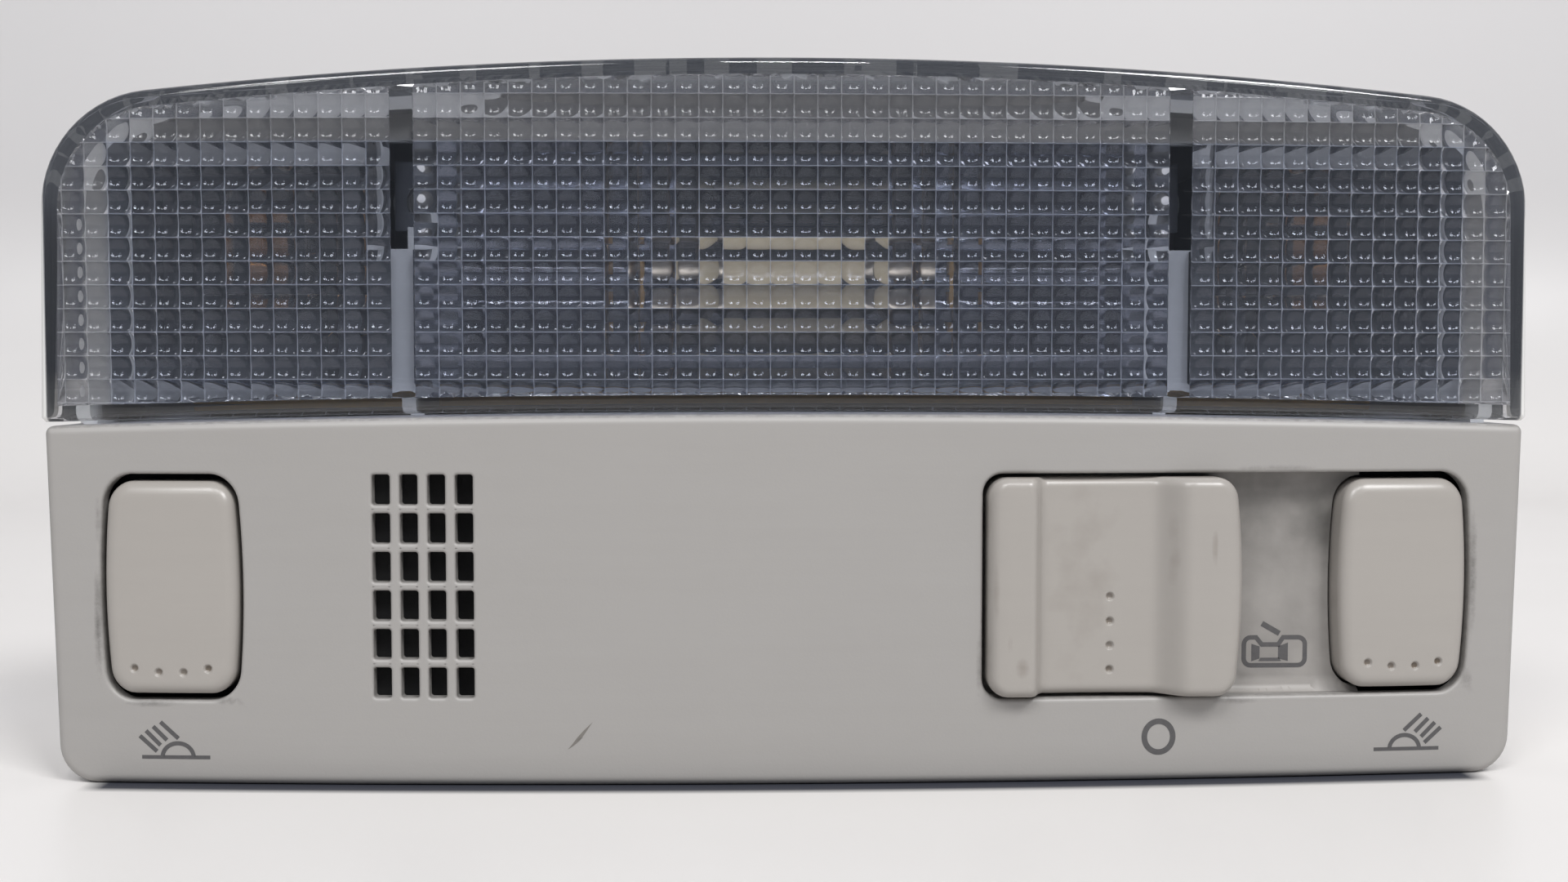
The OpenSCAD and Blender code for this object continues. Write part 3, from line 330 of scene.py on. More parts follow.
def span(value, start, end, low=0.0, high=1.0):
    """Inputs of a map range that runs from low to high between two places in millimetres."""
    return {"Value": value, "From Min": start * MM, "From Max": end * MM,
            "To Min": low, "To Max": high}


def mottled(tree, coords, light, dark, size, spread=0.5, stretch=(1, 1, 1)):
    """A colour that wanders between two hex colours in patches of a size in millimetres."""
    stretched = add(tree, "Mapping", {"Vector": coords, "Scale": stretch})
    noise = add(tree, "TexNoise", {
        "Vector": stretched, "Scale": per_mm(size), "Detail": 4.0, "Roughness": spread})
    return add(tree, "Mix", {0: noise, "A": linear(light), "B": linear(dark)}, data_type="RGBA")


def grain(tree, shader, coords, size, height):
    """Fine moulded grain: noise of a size in millimetres as a bump of a height in millimetres."""
    noise = add(tree, "TexNoise", {"Vector": coords, "Scale": per_mm(size), "Detail": 2.0})
    bump = add(tree, "Bump", {"Height": noise, "Distance": height * MM, "Strength": 1.0})
    connect(shader, {"Normal": bump})


def marked_plastic(name, light, dark, roughness, grain_mm, grain_h, mark_colour, dirt_mm=1.2, detail=0.7):
    """Moulded ABS with a satin grain, faint rubbing along it, and a darker mark colour where the
    mark
    is: dirt and wear, and painted shade where a piece's marks carry it.
    """
    made, tree, shader, coords = new_material(name, light, roughness, IOR=1.5)
    tone = mottled(tree, coords, light, dark, 40.0)
    scuff = mottled(tree, coords, "#000000", "#FFFFFF", 3.0, 0.7, (0.06, 1, 1))
    rubbed = add(tree, "MapRange", {
        "Value": scuff, "From Min": 0.35, "From Max": 0.75, "To Min": 0.0, "To Max": 0.12})
    base = add(tree, "Mix", {0: rubbed, "A": tone, "B": linear("#8F8B86")}, data_type="RGBA")
    mark = add(tree, "Attribute", attribute_name="mark").outputs["Fac"]
    dirt = add(tree, "TexNoise", {
        "Vector": coords, "Scale": per_mm(dirt_mm), "Detail": 6.0, "Roughness": detail})
    edge = add(tree, "Math", {0: mark, 1: dirt}, operation="MULTIPLY")
    # How far the mark colour covers: dirt and wear, and painted shade where the marks carry it
    worn = add(tree, "MapRange", {
        "Value": edge, "From Min": 0.12, "From Max": 0.6, "To Min": 0.0, "To Max": 0.85})
    colour = add(tree, "Mix", {0: worn, "A": base, "B": linear(mark_colour)}, data_type="RGBA")
    connect(shader, {"Base Color": colour})
    grain(tree, shader, coords, grain_mm, grain_h)
    return made


def plain_plastic(name, light, dark, roughness, grain_mm=0.4, grain_h=0.01):
    """Moulded plastic inside the case, with a slight unevenness in tone and a fine grain."""
    made, tree, shader, coords = new_material(name, light, roughness, IOR=1.5)
    connect(shader, {"Base Color": mottled(tree, coords, light, dark, 12.0)})
    grain(tree, shader, coords, grain_mm, grain_h)
    return made


def metal(name, light, dark, roughness, streak=(1, 1, 1), grain_h=0.004):
    """Bare or plated metal. Its tone wanders a little along the rolling direction."""
    made, tree, shader, coords = new_material(name, light, roughness, Metallic=1.0)
    connect(shader, {"Base Color": mottled(tree, coords, light, dark, 2.5, 0.6, streak)})
    grain(tree, shader, coords, 0.3, grain_h)
    return made


# Moulded ABS with a fine satin grain, light warm grey, matt with a soft sheen
COVER_ABS = marked_plastic("satin_moulded_abs", "#A09D9A", "#9B9895", 0.42, 0.35, 0.012, "#33312D")
# The same moulding in the recess, dulled by broad smudges; its marks add painted shade
RECESS_SHADED_ABS = marked_plastic("worn_and_shaded_moulded_abs", "#A09C98", "#9A9692", 0.5, 0.35, 0.012, "#3B3A37",
                            7.0, 0.45)
# Moulded ABS polished by fingers, a little warmer and glossier than the cover
BUTTON_ABS = marked_plastic("polished_moulded_abs", "#A49F9A", "#9F9A94", 0.28, 0.5, 0.004,
                            "#5A4C3C", 4.0, 0.5)
# Moulded ABS of the housing, plain grey with a coarser grain
HOUSING_ABS = plain_plastic("housing_moulded_abs", "#B9B8B4", "#A9A8A4", 0.55)
# Matt dark plastic of the shades, and glass-filled nylon of sockets and switches
DARK_PLASTIC = plain_plastic("dark_moulded_plastic", "#1C1D20", "#141518", 0.6)
BLACK_PLASTIC = plain_plastic("black_glass_filled_nylon", "#17171A", "#101012", 0.5)
# Natural acetal of the sliding pieces, waxy white
WHITE_ACETAL = plain_plastic("natural_acetal", "#DAD8D0", "#CFCDC4", 0.35)
# Aluminium film deposited on plastic, mirror bright with a trace of haze
CHROME_FILM = metal("metallised_film", "#96989E", "#888A91", 0.1, grain_h=0.0008)
# Stamped spring brass and copper alloy, streaked along the strip and slightly dulled
BRASS = metal("stamped_brass", "#CFA561", "#B98E4E", 0.32, (0.2, 1, 1))
COPPER = metal("stamped_copper_alloy", "#D8A468", "#B98550", 0.22, (1, 1, 0.2))
# Nickelled brass of the lamp caps, dull and yellowish, and zinc-plated sheet, pale and satin
LAMP_CAP = metal("dull_nickelled_brass", "#A69A86", "#8B8070", 0.38, (1, 1, 0.2))
ZINC_STEEL = metal("zinc_plated_steel", "#A9ABAE", "#95979B", 0.35, (0.3, 1, 1))
# Drawn tungsten wire, dark grey, and the spun aluminium can of the microphone, bright and satin
TUNGSTEN = metal("tungsten_wire", "#6E6C6A", "#5A5856", 0.45)
CAPSULE_CAN = metal("spun_aluminium", "#BFC0C2", "#AEAFB2", 0.3)
# Green glass-fibre laminate with a woven look
LAMINATE = plain_plastic("glass_fibre_laminate", "#2C5C38", "#234A2D", 0.4, 0.8, 0.01)


def woven_felt():
    """Thin black felt: short fibres give it a soft rough surface and a faint sheen."""
    made, tree, shader, coords = new_material("black_felt", "#0C0C0D", 0.95, Sheen_Weight=0.2)
    connect(shader, {"Base Color": mottled(tree, coords, "#121214", "#070708", 0.5, 0.8)})
    grain(tree, shader, coords, 0.15, 0.05)
    return made


def clear_material(name, colour, roughness, ior, haze_size, haze):
    """Clear moulding or glass whose wall lets a colour through. Faint haze wanders over its gloss.

    Light for what lies behind falls straight through, each of the two surfaces taking half of the
    tint.
    """
    made, tree, shader, coords = new_material(name, colour, roughness, IOR=ior,
                                              Transmission_Weight=1.0)
    noise = add(tree, "TexNoise", {"Vector": coords, "Scale": per_mm(haze_size), "Detail": 4.0})
    connect(shader, {"Roughness": add(tree, "MapRange", {
        "Value": noise, "To Min": roughness, "To Max": roughness + haze})})
    shadow = add(tree, "LightPath").outputs["Is Shadow Ray"]
    half_wall = tuple(math.sqrt(c) for c in linear(colour))
    through = add(tree, "BsdfTransparent", {"Color": half_wall})
    both = add(tree, "MixShader", {0: shadow, 1: shader, 2: through})
    connect(tree.nodes["Material Output"], {"Surface": both})
    return made


FELT = woven_felt()
# Soda-lime glass of the small lamps with a warm film from use
LAMP_GLASS = clear_material("lamp_glass", "#E9DFC8", 0.05, 1.5, 4.0, 0.15)


def crowned_depth(tree, spot):
    """Depth behind the crowned face in metres, plus FACE_Y: y - x^2 / (2 * CROWN_R)."""
    square = add(tree, "Math", {0: spot["X"], 1: spot["X"]}, operation="MULTIPLY")
    rise = add(tree, "Math", {0: square, 1: 1 / (2 * CROWN_R * MM)}, operation="MULTIPLY")
    return add(tree, "Math", {0: spot["Y"], 1: rise}, operation="SUBTRACT")


def smoked_lens():
    """Smoked polycarbonate, injection moulded, glossy, a cool blue-grey.

    The face with the pillows, which carries the mark, is faintly hazy. Towards its border it is
    hazier and lighter as painted light, and on thin lines between the cells hazier as painted
    highlight. Along the wall the tint is darker, partly for the long way through the smoked plastic
    and partly as painted shade, and the front edge of its two sides carries a painted glow.
    """
    smoke = "#C3C7D1"
    made = clear_material("smoked_polycarbonate_with_painted_light", smoke, 0.0, 1.585, 20.0, 0.02)
    tree = made.node_tree
    spot = add(tree, "SeparateXYZ", {0: add(tree, "TexCoord").outputs["Object"]}).outputs
    across = add(tree, "Math", {0: spot["X"]}, operation="ABSOLUTE")
    depth = crowned_depth(tree, spot)
    away = {}
    for axis, start in (("X", 0.0), ("Z", PILLOW_TOP_Z)):
        moved = add(tree, "Math", {0: spot[axis], 1: start * MM}, operation="SUBTRACT")
        away[axis] = add(tree, "Math", {0: moved, 1: PILLOW / 2 * MM}, operation="PINGPONG")

    # Each zone joins two ramps: value, start and end, and low and high if they aren't 0 and 1
    zones = {}
    # Lines: thin lines between the cells, hazier as painted highlight. Border: the top rows and the
    # side columns, lighter and hazier as painted light. Wall: darker, for the long way through the
    # smoke and as painted shade. Rim: the front of the two side edges, a painted glow
    for name, operation, first, second in (
            ("lines", "MAXIMUM", (away["X"], 0.03, 0.14, 1.0, 0.0),
             (away["Z"], 0.03, 0.14, 1.0, 0.0)),
            ("border", "MAXIMUM", (spot["Z"], 81.8, 82.2), (across, 86.8, 87.2)),
            ("wall", "MULTIPLY", (depth, FACE_Y + 2.9, FACE_Y + 3.6), (spot["Z"], 50.0, 53.0)),
            ("rim", "MULTIPLY", (across, 94.9, 95.2), (depth, FACE_Y + 3.0, FACE_Y + 2.0))):
        zones[name] = add(tree, "Math", {
            0: add(tree, "MapRange", span(*first)),
            1: add(tree, "MapRange", span(*second))}, operation=operation)
    # Haze over the pillows, with painted highlight on the lines between the cells and painted light
    # at the border
    haze_and_painted_light = add(tree, "Math", {0: zones["lines"], 1: 0.27, 2: 0.07}, operation="MULTIPLY_ADD")
    haze_and_painted_light = add(tree, "Math", {0: zones["border"], 1: 0.06, 2: haze_and_painted_light}, operation="MULTIPLY_ADD")
    pillows = add(tree, "Attribute", attribute_name="mark").outputs["Fac"]
    haze_and_painted_light = add(tree, "Math", {0: haze_and_painted_light, 1: pillows}, operation="MULTIPLY")
    # Painted glow along the front of the two side edges, strongest low down and fading out towards
    # the top
    fading = add(tree, "MapRange", span(spot["Z"], 86.0, 72.0, 0.0, 0.85))
    glow = add(tree, "Math", {0: zones["rim"], 1: fading}, operation="MULTIPLY")
    veil_and_painted_light = add(tree, "Math", {0: haze_and_painted_light, 1: glow}, operation="MAXIMUM")
    tint = linear(smoke)
    # Tint: lighter at the border as painted light, darker along the wall for the long way through
    # the smoke and as painted shade, near white at the side edges as painted glow
    for amount, colour in (
            (zones["border"], "#C8C8CA"), (zones["wall"], "#5C616E"), (glow, "#F2F1EE")):
        tint = add(tree, "Mix", {0: amount, "A": tint, "B": linear(colour)}, data_type="RGBA")
    connect(tree.nodes["Principled BSDF"], {
        "Base Color": tint,
        "Transmission Weight": add(tree, "Math", {0: 1.0, 1: veil_and_painted_light}, operation="SUBTRACT")})
    return made


SMOKED_LENS_WITH_PAINTED_LIGHT = smoked_lens()


def frosted_glass():
    """Glass frosted inside: a milky wall that lets part of the light through, warmer in patches."""
    made, tree, shader, coords = new_material("frosted_lamp_glass", "#E0CFA9", 0.18, IOR=1.5,
                                              Transmission_Weight=0.35)
    connect(shader, {"Base Color": mottled(tree, coords, "#E4D3AE", "#D2BE96", 6.0)})
    return made


FROSTED_GLASS = frosted_glass()


def printed_ink():
    """Pad-printed dark grey ink, thin and slightly worn."""
    made, tree, shader, coords = new_material("pad_print_ink", "#4A494B", 0.5)
    connect(shader, {"Base Color": mottled(tree, coords, "#454446", "#5C5A5A", 0.6, 0.7)})
    return made


INK = printed_ink()
# Dark trace rubbed into the grain of the cover
RUB = plain_plastic("rub_mark", "#7E7A75", "#67635E", 0.6, 0.3, 0.01)


# Outlines of the case, as in the CAD model

def upper_path(half, inset, r):
    """Arched upper edge with its two round corners, from left to right."""
    radius = TOP_R - inset
    turn = math.degrees(math.asin((half - r) / (radius - r)))
    cz = CASE_H - TOP_R + (radius - r) * math.cos(math.radians(turn))
    left = arc(r - half, cz, r, 180, 90 + turn, CORNER_STEPS)
    top = arc(0, CASE_H - TOP_R, radius, 90 + turn, 90 - turn, ARC_STEPS)
    right = arc(half - r, cz, r, 90 - turn, 0, CORNER_STEPS)
    return np.concatenate([left[:-1], top, right[1:]])


def lens_path(inset):
    """Outline of the lens drawn inwards, clockwise from its left side."""
    top = upper_path(LENS_HALF - LENS_TAPER - inset, inset, CORNER_R - inset)
    u = np.linspace(1, -1, 97)
    x = u * (LENS_HALF - inset)
    r = max(0.6 - inset, 0.1)
    low = arch(SEAM_Z, SEAM_R, x) + SEAM_GAP / 2 + inset
    low[0] += r
    low[-1] += r
    foot = np.stack([x, low], 1)
    start = foot[0] - [r, 0]
    end = foot[-1] + [r, 0]
    start[1] = arch(SEAM_Z, SEAM_R, start[0]) + SEAM_GAP / 2 + inset
    end[1] = arch(SEAM_Z, SEAM_R, end[0]) + SEAM_GAP / 2 + inset
    return np.concatenate([top, foot[:1], [start], foot[2:-2], [end], foot[-1:]])


def cover_path(inset):
    """Outline of the cover drawn inwards, clockwise from its upper left corner."""
    r = max(FOOT_R - inset, 1.0)
    rt = max(1.0 - inset, 0.15)
    half = COVER_HALF - inset
    x = np.linspace(-(half - rt), half - rt, 95)
    seam = np.stack([x, arch(SEAM_Z, SEAM_R, x) - SEAM_GAP / 2 - inset], 1)
    z = seam[0, 1]
    left = arc(rt - half, z - rt, rt, 180, 90, 4)[:-1]
    right = arc(half - rt, z - rt, rt, 90, 0, 4)[1:]
    flat = FOOT_HALF - inset - r
    foot_right = arc(flat, inset + r, r, 0, -90, 10)
    foot_left = arc(-flat, inset + r, r, -90, -180, 10)
    foot = np.stack([np.linspace(flat, -flat, 62)[1:-1], np.full(60, inset)], 1)
    return np.concatenate([left, seam, right, foot_right, foot, foot_left])


def rounded_rect(cx, cz, w, h, r, n=6):
    """Rectangle with round corners, anticlockwise, with points along its sides."""
    corners = [(w / 2 - r, h / 2 - r, 0), (r - w / 2, h / 2 - r, 90),
               (r - w / 2, r - h / 2, 180), (w / 2 - r, r - h / 2, 270)]
    return np.concatenate([arc(cx + x, cz + z, r, a, a + 90, n) for x, z, a in corners])


def filled(path, step):
    """A closed path with points added so that no side is longer than a step."""
    parts = []
    for a, b in zip(path, np.roll(path, -1, 0)):
        n = max(1, int(np.ceil(np.linalg.norm(b - a) / step)))
        parts.append(a + (b - a) * np.linspace(0, 1, n, endpoint=False)[:, None])
    return np.concatenate(parts)


def barrel_path(cx, w, h, r, bow, cz, step=1.0):
    """Rectangle with round corners whose sides bow outwards from the ends to the middle."""
    path = filled(rounded_rect(0, 0, w, h, r, 8), step)
    path[:, 0] *= 1 - bow / (w / 2) * (2 * path[:, 1] / h) ** 2
    return path + [cx, cz]


def button_opening(side):
    return barrel_path(side * BUTTON_X, HOLE_W, HOLE_H, BUTTON_R + BUTTON_GAP, 2 * BUTTON_BOW,
                       HOLE_Z)


def switch_opening():
    """Opening of the recess and the right button in one, with the button's right end."""
    right = button_opening(1)
    right = right[right[:, 0] > BUTTON_X]
    right = right[np.argsort(np.arctan2(right[:, 1] - HOLE_Z, right[:, 0] - BUTTON_X))]
    left_top = arc(RECESS_X0 + RECESS_R, RECESS_Z1 - RECESS_R, RECESS_R, 90, 180, 8)
    left_low = arc(RECESS_X0 + RECESS_R, RECESS_Z0 + RECESS_R, RECESS_R, 180, 270, 8)
    return filled(np.concatenate([right, left_top, left_low]), 1.0)


def slots():
    """The grille's slots: four across and six up."""
    for i in range(4):
        for j in range(6):
            x = GRILLE_X + (i - 1.5) * SLOT_PITCH_X
            z = GRILLE_Z + (j - 2.5) * SLOT_PITCH_Z
            yield rounded_rect(x, z, SLOT_W, SLOT_H, SLOT_R, 4)


def distance_to(points, path):
    """Distance in the front view from points to the nearest point of a path."""
    d = points[:, None, [0, 2]] - path[None, :, :]
    return np.sqrt((d ** 2).sum(2).min(1))


# Front cover

def face_depth(p):
    return crown(p[:, 0])


def back_depth(p):
    """Depth of the back of the cover's front wall."""
    return crown(p[:, 0]) + COVER_T


def quarter(across, back, n):
    """n steps round a quarter ellipse from a side to a face, as (way across, way back) pairs."""
    return [(across * (1 - math.cos(t)), back * (1 - math.sin(t)))
            for t in np.radians(np.linspace(0, 90, n))]


def stepped(shell, outline, surface, steps):
    """Joins rings, one for each step: outline(way across), laid the way back behind the surface.

    Returns the (path, numbers) pair of each ring.
    """
    paths = [outline(across) for across, _ in steps]
    rings = [place(p, surface(p) + back) for p, (_, back) in zip(paths, steps)]
    return list(zip(paths, shell.rings(rings, flip=True)))


def lipped_hole(shell, path, lip, guards):
    """A hole in the cover's front wall whose front edge is rounded by a lip.

    Returns the outermost ring, from which the face starts, and the ring at the back of the wall.
    """
    steps = [(0.0, COVER_T)] + quarter(lip, lip, 6) + [(lip + g, 0.0) for g in guards]
    rings = stepped(shell, lambda out: pushed(path, out), face_depth, steps)
    return rings[-1], rings[0]


def walled_front(outline, wall, inner_depth):
    """A moulding's rounded front edge, and its side wall back to the skirt and forward inside.

    Returns the shell, the ring from which the face starts and the ring where the wall ends inside.
    """
    shell = Shell()
    steps = quarter(EDGE_R, EDGE_R, 8) + [(EDGE_R + EDGE_GUARD, 0.0)]
    rings = stepped(shell, outline, face_depth, steps)
    inner = outline(wall)
    walls = [rings[0][1]] + [shell.add(place(p, depth)) for p, depth in (
        (outline(0), SKIRT_D), (inner, SKIRT_D), (inner, inner_depth(inner)))]
    for a, b in zip(walls[:-1], walls[1:]):
        shell.band(a, b)
    return shell, rings[-1], (inner, walls[-1])


# Soft darker patches on the cover, most along the edges of the openings: middle, reach across and
# up, strength
COVER_DARK_PATCHES = [
    (-88.9, 20.5, 0.55, 8.0, 0.72), (-88.7, 34.0, 0.5, 4.0, 0.5), (-82.0, 10.5, 4.5, 0.5, 0.6),
    (-72.0, 10.8, 2.2, 0.5, 0.6), (88.9, 27.0, 0.6, 9.0, 0.68), (88.3, 12.5, 1.0, 2.0, 0.55),
    (62.0, 40.5, 7.0, 0.5, 0.5), (57.0, 10.3, 4.0, 0.5, 0.55), (23.7, 15.0, 0.5, 6.0, 0.5),
    (-8.0, 12.0, 9.0, 3.0, 0.24), (-30.0, 27.0, 8.0, 9.0, 0.22),
]


def soft_patch(p, x, z, across, up, strength):
    """A bell-shaped patch: strength * exp(-((x - x0) / across)^2 - ((z - z0) / up)^2)."""
    return strength * np.exp(-((p[:, 0] - x) / across) ** 2 - ((p[:, 2] - z) / up) ** 2)


def make_cover():
    shell, face, inner = walled_front(cover_path, COVER_T, back_depth)
    openings = [button_opening(-1), switch_opening()]
    holes = [lipped_hole(shell, path, HOLE_LIP, (0.12, 0.6, 1.3)) for path in openings]
    holes += [lipped_hole(shell, path, SLOT_LIP, (0.1,)) for path in slots()]
    fronts, backs = zip(*holes)
    points = face_grid(face[0], 2.5, 2.5, [path for path, _ in fronts], 1.2)
    shell.cap(face, fronts, face_depth, points)
    points = face_grid(inner[0], 4, 4, [path for path, _ in backs], 1.0)
    shell.cap(inner, backs, back_depth, points, flip=True)
    slot_paths = np.concatenate(list(slots()))

    def marks(p):
        """Painted shade on all that lies more than 0.4 mm behind the face; darker on the lips of
        the openings, round the slots and in soft patches near them.
        """
        near = np.minimum(distance_to(p, openings[0]), distance_to(p, openings[1]))
        low = p[:, 1] - FACE_Y - crown(p[:, 0])
        lips = 0.42 * np.clip(1 - near / 0.55, 0, 1)
        grille = 0.3 * np.clip(1 - distance_to(p, slot_paths) / 0.3, 0, 1)
        patches = [soft_patch(p, *spot) for spot in COVER_DARK_PATCHES]
        # Painted shade on the sides, the walls of the openings and the back of the front wall
        behind = np.where(low > 0.4, 0.55, 0)
        return np.clip(np.max([lips, grille, behind] + patches, axis=0), 0, 1)

    shell.finish("cover_shell", COVER_ABS, "cover_plastic", stands_for=("front_cover",),
                 marks=marks)


# Dirt and painted shade in the recess: the same columns
RECESS_GRIME_AND_SHADE = [
    (59.4, 13.2, 1.2, 0.9, 0.8), (70.3, 26.0, 2.0, 13.0, 0.62), (61.0, 39.0, 5.0, 1.6, 0.62),
    (62.3, 28.0, 1.3, 11.0, 0.42), (57.8, 27.0, 1.6, 13.0, 0.5),
]


def level_edge(x0, x1, z):
    """Points along a level line without its two ends."""
    return np.stack([np.linspace(x0, x1, 46), np.full(46, z)], 1)[1:-1]


def make_recess():
    """Floor and walls of the recess in which the knob slides, up to the right button."""
    cap = barrel_path(BUTTON_X, BUTTON_W, BUTTON_H, BUTTON_R, 2 * BUTTON_BOW, BUTTON_CZ, 0.8)
    cap = pushed(cap, 0.35)
    cap = cap[cap[:, 0] < BUTTON_X - BUTTON_W / 2 + BUTTON_R + 1]
    cap = cap[np.argsort(np.arctan2(cap[:, 1] - BUTTON_CZ, BUTTON_X - cap[:, 0]))]
    z0, z1, left = RECESS_Z0 + HAIR, RECESS_Z1 - HAIR, RECESS_X0 + POCKET_R
    wall = np.concatenate([
        level_edge(cap[-1, 0], left, z1), arc(left, z1 - POCKET_R, POCKET_R, 90, 180, 6),
        arc(left, z0 + POCKET_R, POCKET_R, 180, 270, 6), level_edge(left, cap[0, 0], z0)])
    path = np.concatenate([[[cap[0, 0], z0]], cap, [[cap[-1, 0], z1]], wall])

    def floor(p):
        """Level floor that turns up into the lower wall in a quarter circle of 1 mm."""
        left = np.clip(1.0 - (p[:, 1] - RECESS_Z0), 0, 1)
        return RECESS_D - (1.0 - np.sqrt(1.0 - left ** 2))

    def underside(p):
        return np.full(len(p), RECESS_D + RECESS_T)

    shell = Shell()
    top = shell.add(place(path, floor(path)))
    low = shell.add(place(path, underside(path)))
    shell.band(top, low, flip=True)
    rows = RECESS_Z0 + np.array([0.15, 0.35, 0.6, 0.85])
    turn_up = np.meshgrid(np.arange(RECESS_X0 + 1.2, 69, 1.0), rows, indexing="ij")
    turn_up = np.stack(turn_up, -1).reshape(-1, 2)
    grid = face_grid(path, 1.0, 1.0, [], 0.5)
    grid = np.concatenate([grid[grid[:, 1] > RECESS_Z0 + 1.1],
                           turn_up[inside(turn_up, pushed(path, -0.1))]])
    shell.cap((path, top), [], floor, grid)
    shell.cap((path, low), [], underside, path[:0], flip=True)
    front = shell.add(place(wall, crown(wall[:, 0]) + 1.9))
    back = shell.add(place(wall, RECESS_D - 0.01))
    shell.strip(front, back, flip=True)

    def marks(p):
        """A darker floor, dirt and painted shade, grows darker towards the upper wall and along the
        walls as painted shade, with patches of dirt and painted shade beside the parked knob and
        the button;
        the turn up of the lower wall stays almost clean.
        """
        # Painted shadow of the upper wall: the mark grows towards the top, over a base of dirt and
        # painted shade
        shade = 0.45 + 0.42 * smooth_step(p[:, 2], 20.0, 39.5)
        # Painted shade along the walls of the recess
        walls = 0.3 + 0.3 * np.exp(-distance_to(p, path) / 1.2)
        dirt = np.max([shade, walls] + [soft_patch(p, *spot) for spot in RECESS_GRIME_AND_SHADE], axis=0)
        return np.where(p[:, 2] < RECESS_Z0 + 0.9, 0.05, np.clip(dirt, 0, 1))

    shell.finish("recess_pocket", RECESS_SHADED_ABS, "cover_plastic", marks=marks)


# Buttons and knob

def dimple(shell, x, z, surface):
    """A small round dent: rings of a falling radius follow a bowl, with a soft lip."""
    steps = [(1.35, 0.0), (1.15, 0.03), (1.0, 0.12), (0.85, 0.45), (0.6, 0.8), (0.3, 0.96)]
    paths = [arc(x, z, DIMPLE_R * k, 0, 360, 16)[:-1] for k, _ in steps]
    numbers = shell.rings([place(p, surface(p) + share * DIMPLE_D)
                           for p, (_, share) in zip(paths, steps)])
    middle = np.array([[x, z]])
    shell.fan(numbers[-1], place(middle, surface(middle) + DIMPLE_D)[0])
    return paths[0], numbers[0]


def moulded_block(name, rim, centre, size, surface, edge, back, dimples, grid, body, node, marking):
    """A button or knob: rounded edges inside its rim, then a shaped face with dimples.

    surface(xz) gives the depth of the face, and edge the reach of the rounding across and back.
    marking(p, out, in_dot) gives the marks: out is 1 at the sides of the size round the centre, and
    in_dot says which points lie in a dot.
    """
    shell = Shell()
    steps = quarter(*edge, 10) + [(edge[0] + 0.3, 0.0)]
    rings = stepped(shell, lambda inset: pushed(rim, -inset), surface, steps)
    path, first = rings[0]
    behind = shell.add(place(path, back))
    shell.band(first, behind)
    shell.cap((path, behind), [], lambda p: np.full(len(p), float(back)), path[:0], flip=True)
    dents = [dimple(shell, x, z, surface) for x, z in dimples]
    points = face_grid(rings[-1][0], grid[0], grid[1], [path for path, _ in dents], 0.35)
    shell.cap(rings[-1], dents, surface, points)

    def marks(p):
        out = (np.abs(p[:, [0, 2]] - centre) / (np.array(size) / 2)).max(1)
        dots = np.min([np.hypot(p[:, 0] - x, p[:, 2] - z) for x, z in dimples], axis=0)
        return np.clip(marking(p, out, dots < 0.42), 0, 1)

    shell.finish(name, BUTTON_ABS, "button_plastic", body, (node,), 50, marks)


def make_button(side):
    cx = side * BUTTON_X
    rim = barrel_path(cx, BUTTON_W, BUTTON_H, BUTTON_R, 2 * BUTTON_BOW, BUTTON_CZ, 0.8)[::-1]

    def surface(p):
        """The crowned face, swelling to the middle, with a lip that falls off at the upper end."""
        u = (p[:, 0] - cx) / (BUTTON_W / 2)
        v = (p[:, 1] - BUTTON_CZ) / (BUTTON_H / 2)
        swell = 0.25 * (u ** 2) + 0.12 * (v ** 2) + 0.55 * np.clip(v - 0.72, 0, 1) ** 2 / 0.08
        return crown(p[:, 0]) - BUTTON_PROUD + swell

    def marking(p, out, in_dot):
        return np.clip((out - 0.95) * 4, 0, 0.3) + 0.9 * in_dot + 0.08

    spots = [(cx - 4.75, 15.1), (cx - 1.6, 14.62), (cx + 1.6, 14.62), (cx + 4.75, 15.1)]
    name = "left" if side < 0 else "right"
    moulded_block(f"button_cap_{name}", rim, (cx, BUTTON_CZ), (BUTTON_W, BUTTON_H), surface,
                  (1.7, 1.3), BUTTON_BACK, spots, (0.8, 0.8), f"{name}_button", f"button_{name}",
                  marking)


def knob_depth(p):
    """Depth of the knob's face: a ridge, a steep step, a valley, and a long rise to the right."""
    x = p[:, 0] - KNOB_X0
    fall = smooth_step(x, 5.7, 7.3)
    rise = smooth_step(x, 21.2, 26.0)
    valley = 2.6 * fall * (1 - rise)
    bowl = 0.25 * np.clip(1 - ((x - 15.5) / 8) ** 2, 0, 1)
    left = 0.5 * np.clip((3.0 - x) / 3.0, 0, 1) ** 2
    right = 0.7 * np.clip((x - 28.5) / 4.5, 0, 1) ** 2
    return -KNOB_PROUD + valley + bowl * fall * (1 - rise) + left + right


# Stains and painted shade on the knob, in the valley and on the slope up to the right ridge: the
# same columns as the patches on the cover
KNOB_STAINS_AND_SHADE = [
    (53.4, 30.5, 0.45, 3.2, 0.6), (28.9, 15.2, 1.0, 1.6, 0.5), (27.3, 18.5, 0.6, 2.2, 0.35),
    (25.6, 24.0, 0.6, 9.0, 0.35), (48.4, 31.0, 1.2, 7.0, 0.42), (37.0, 26.0, 7.5, 22.0, 0.34),
]


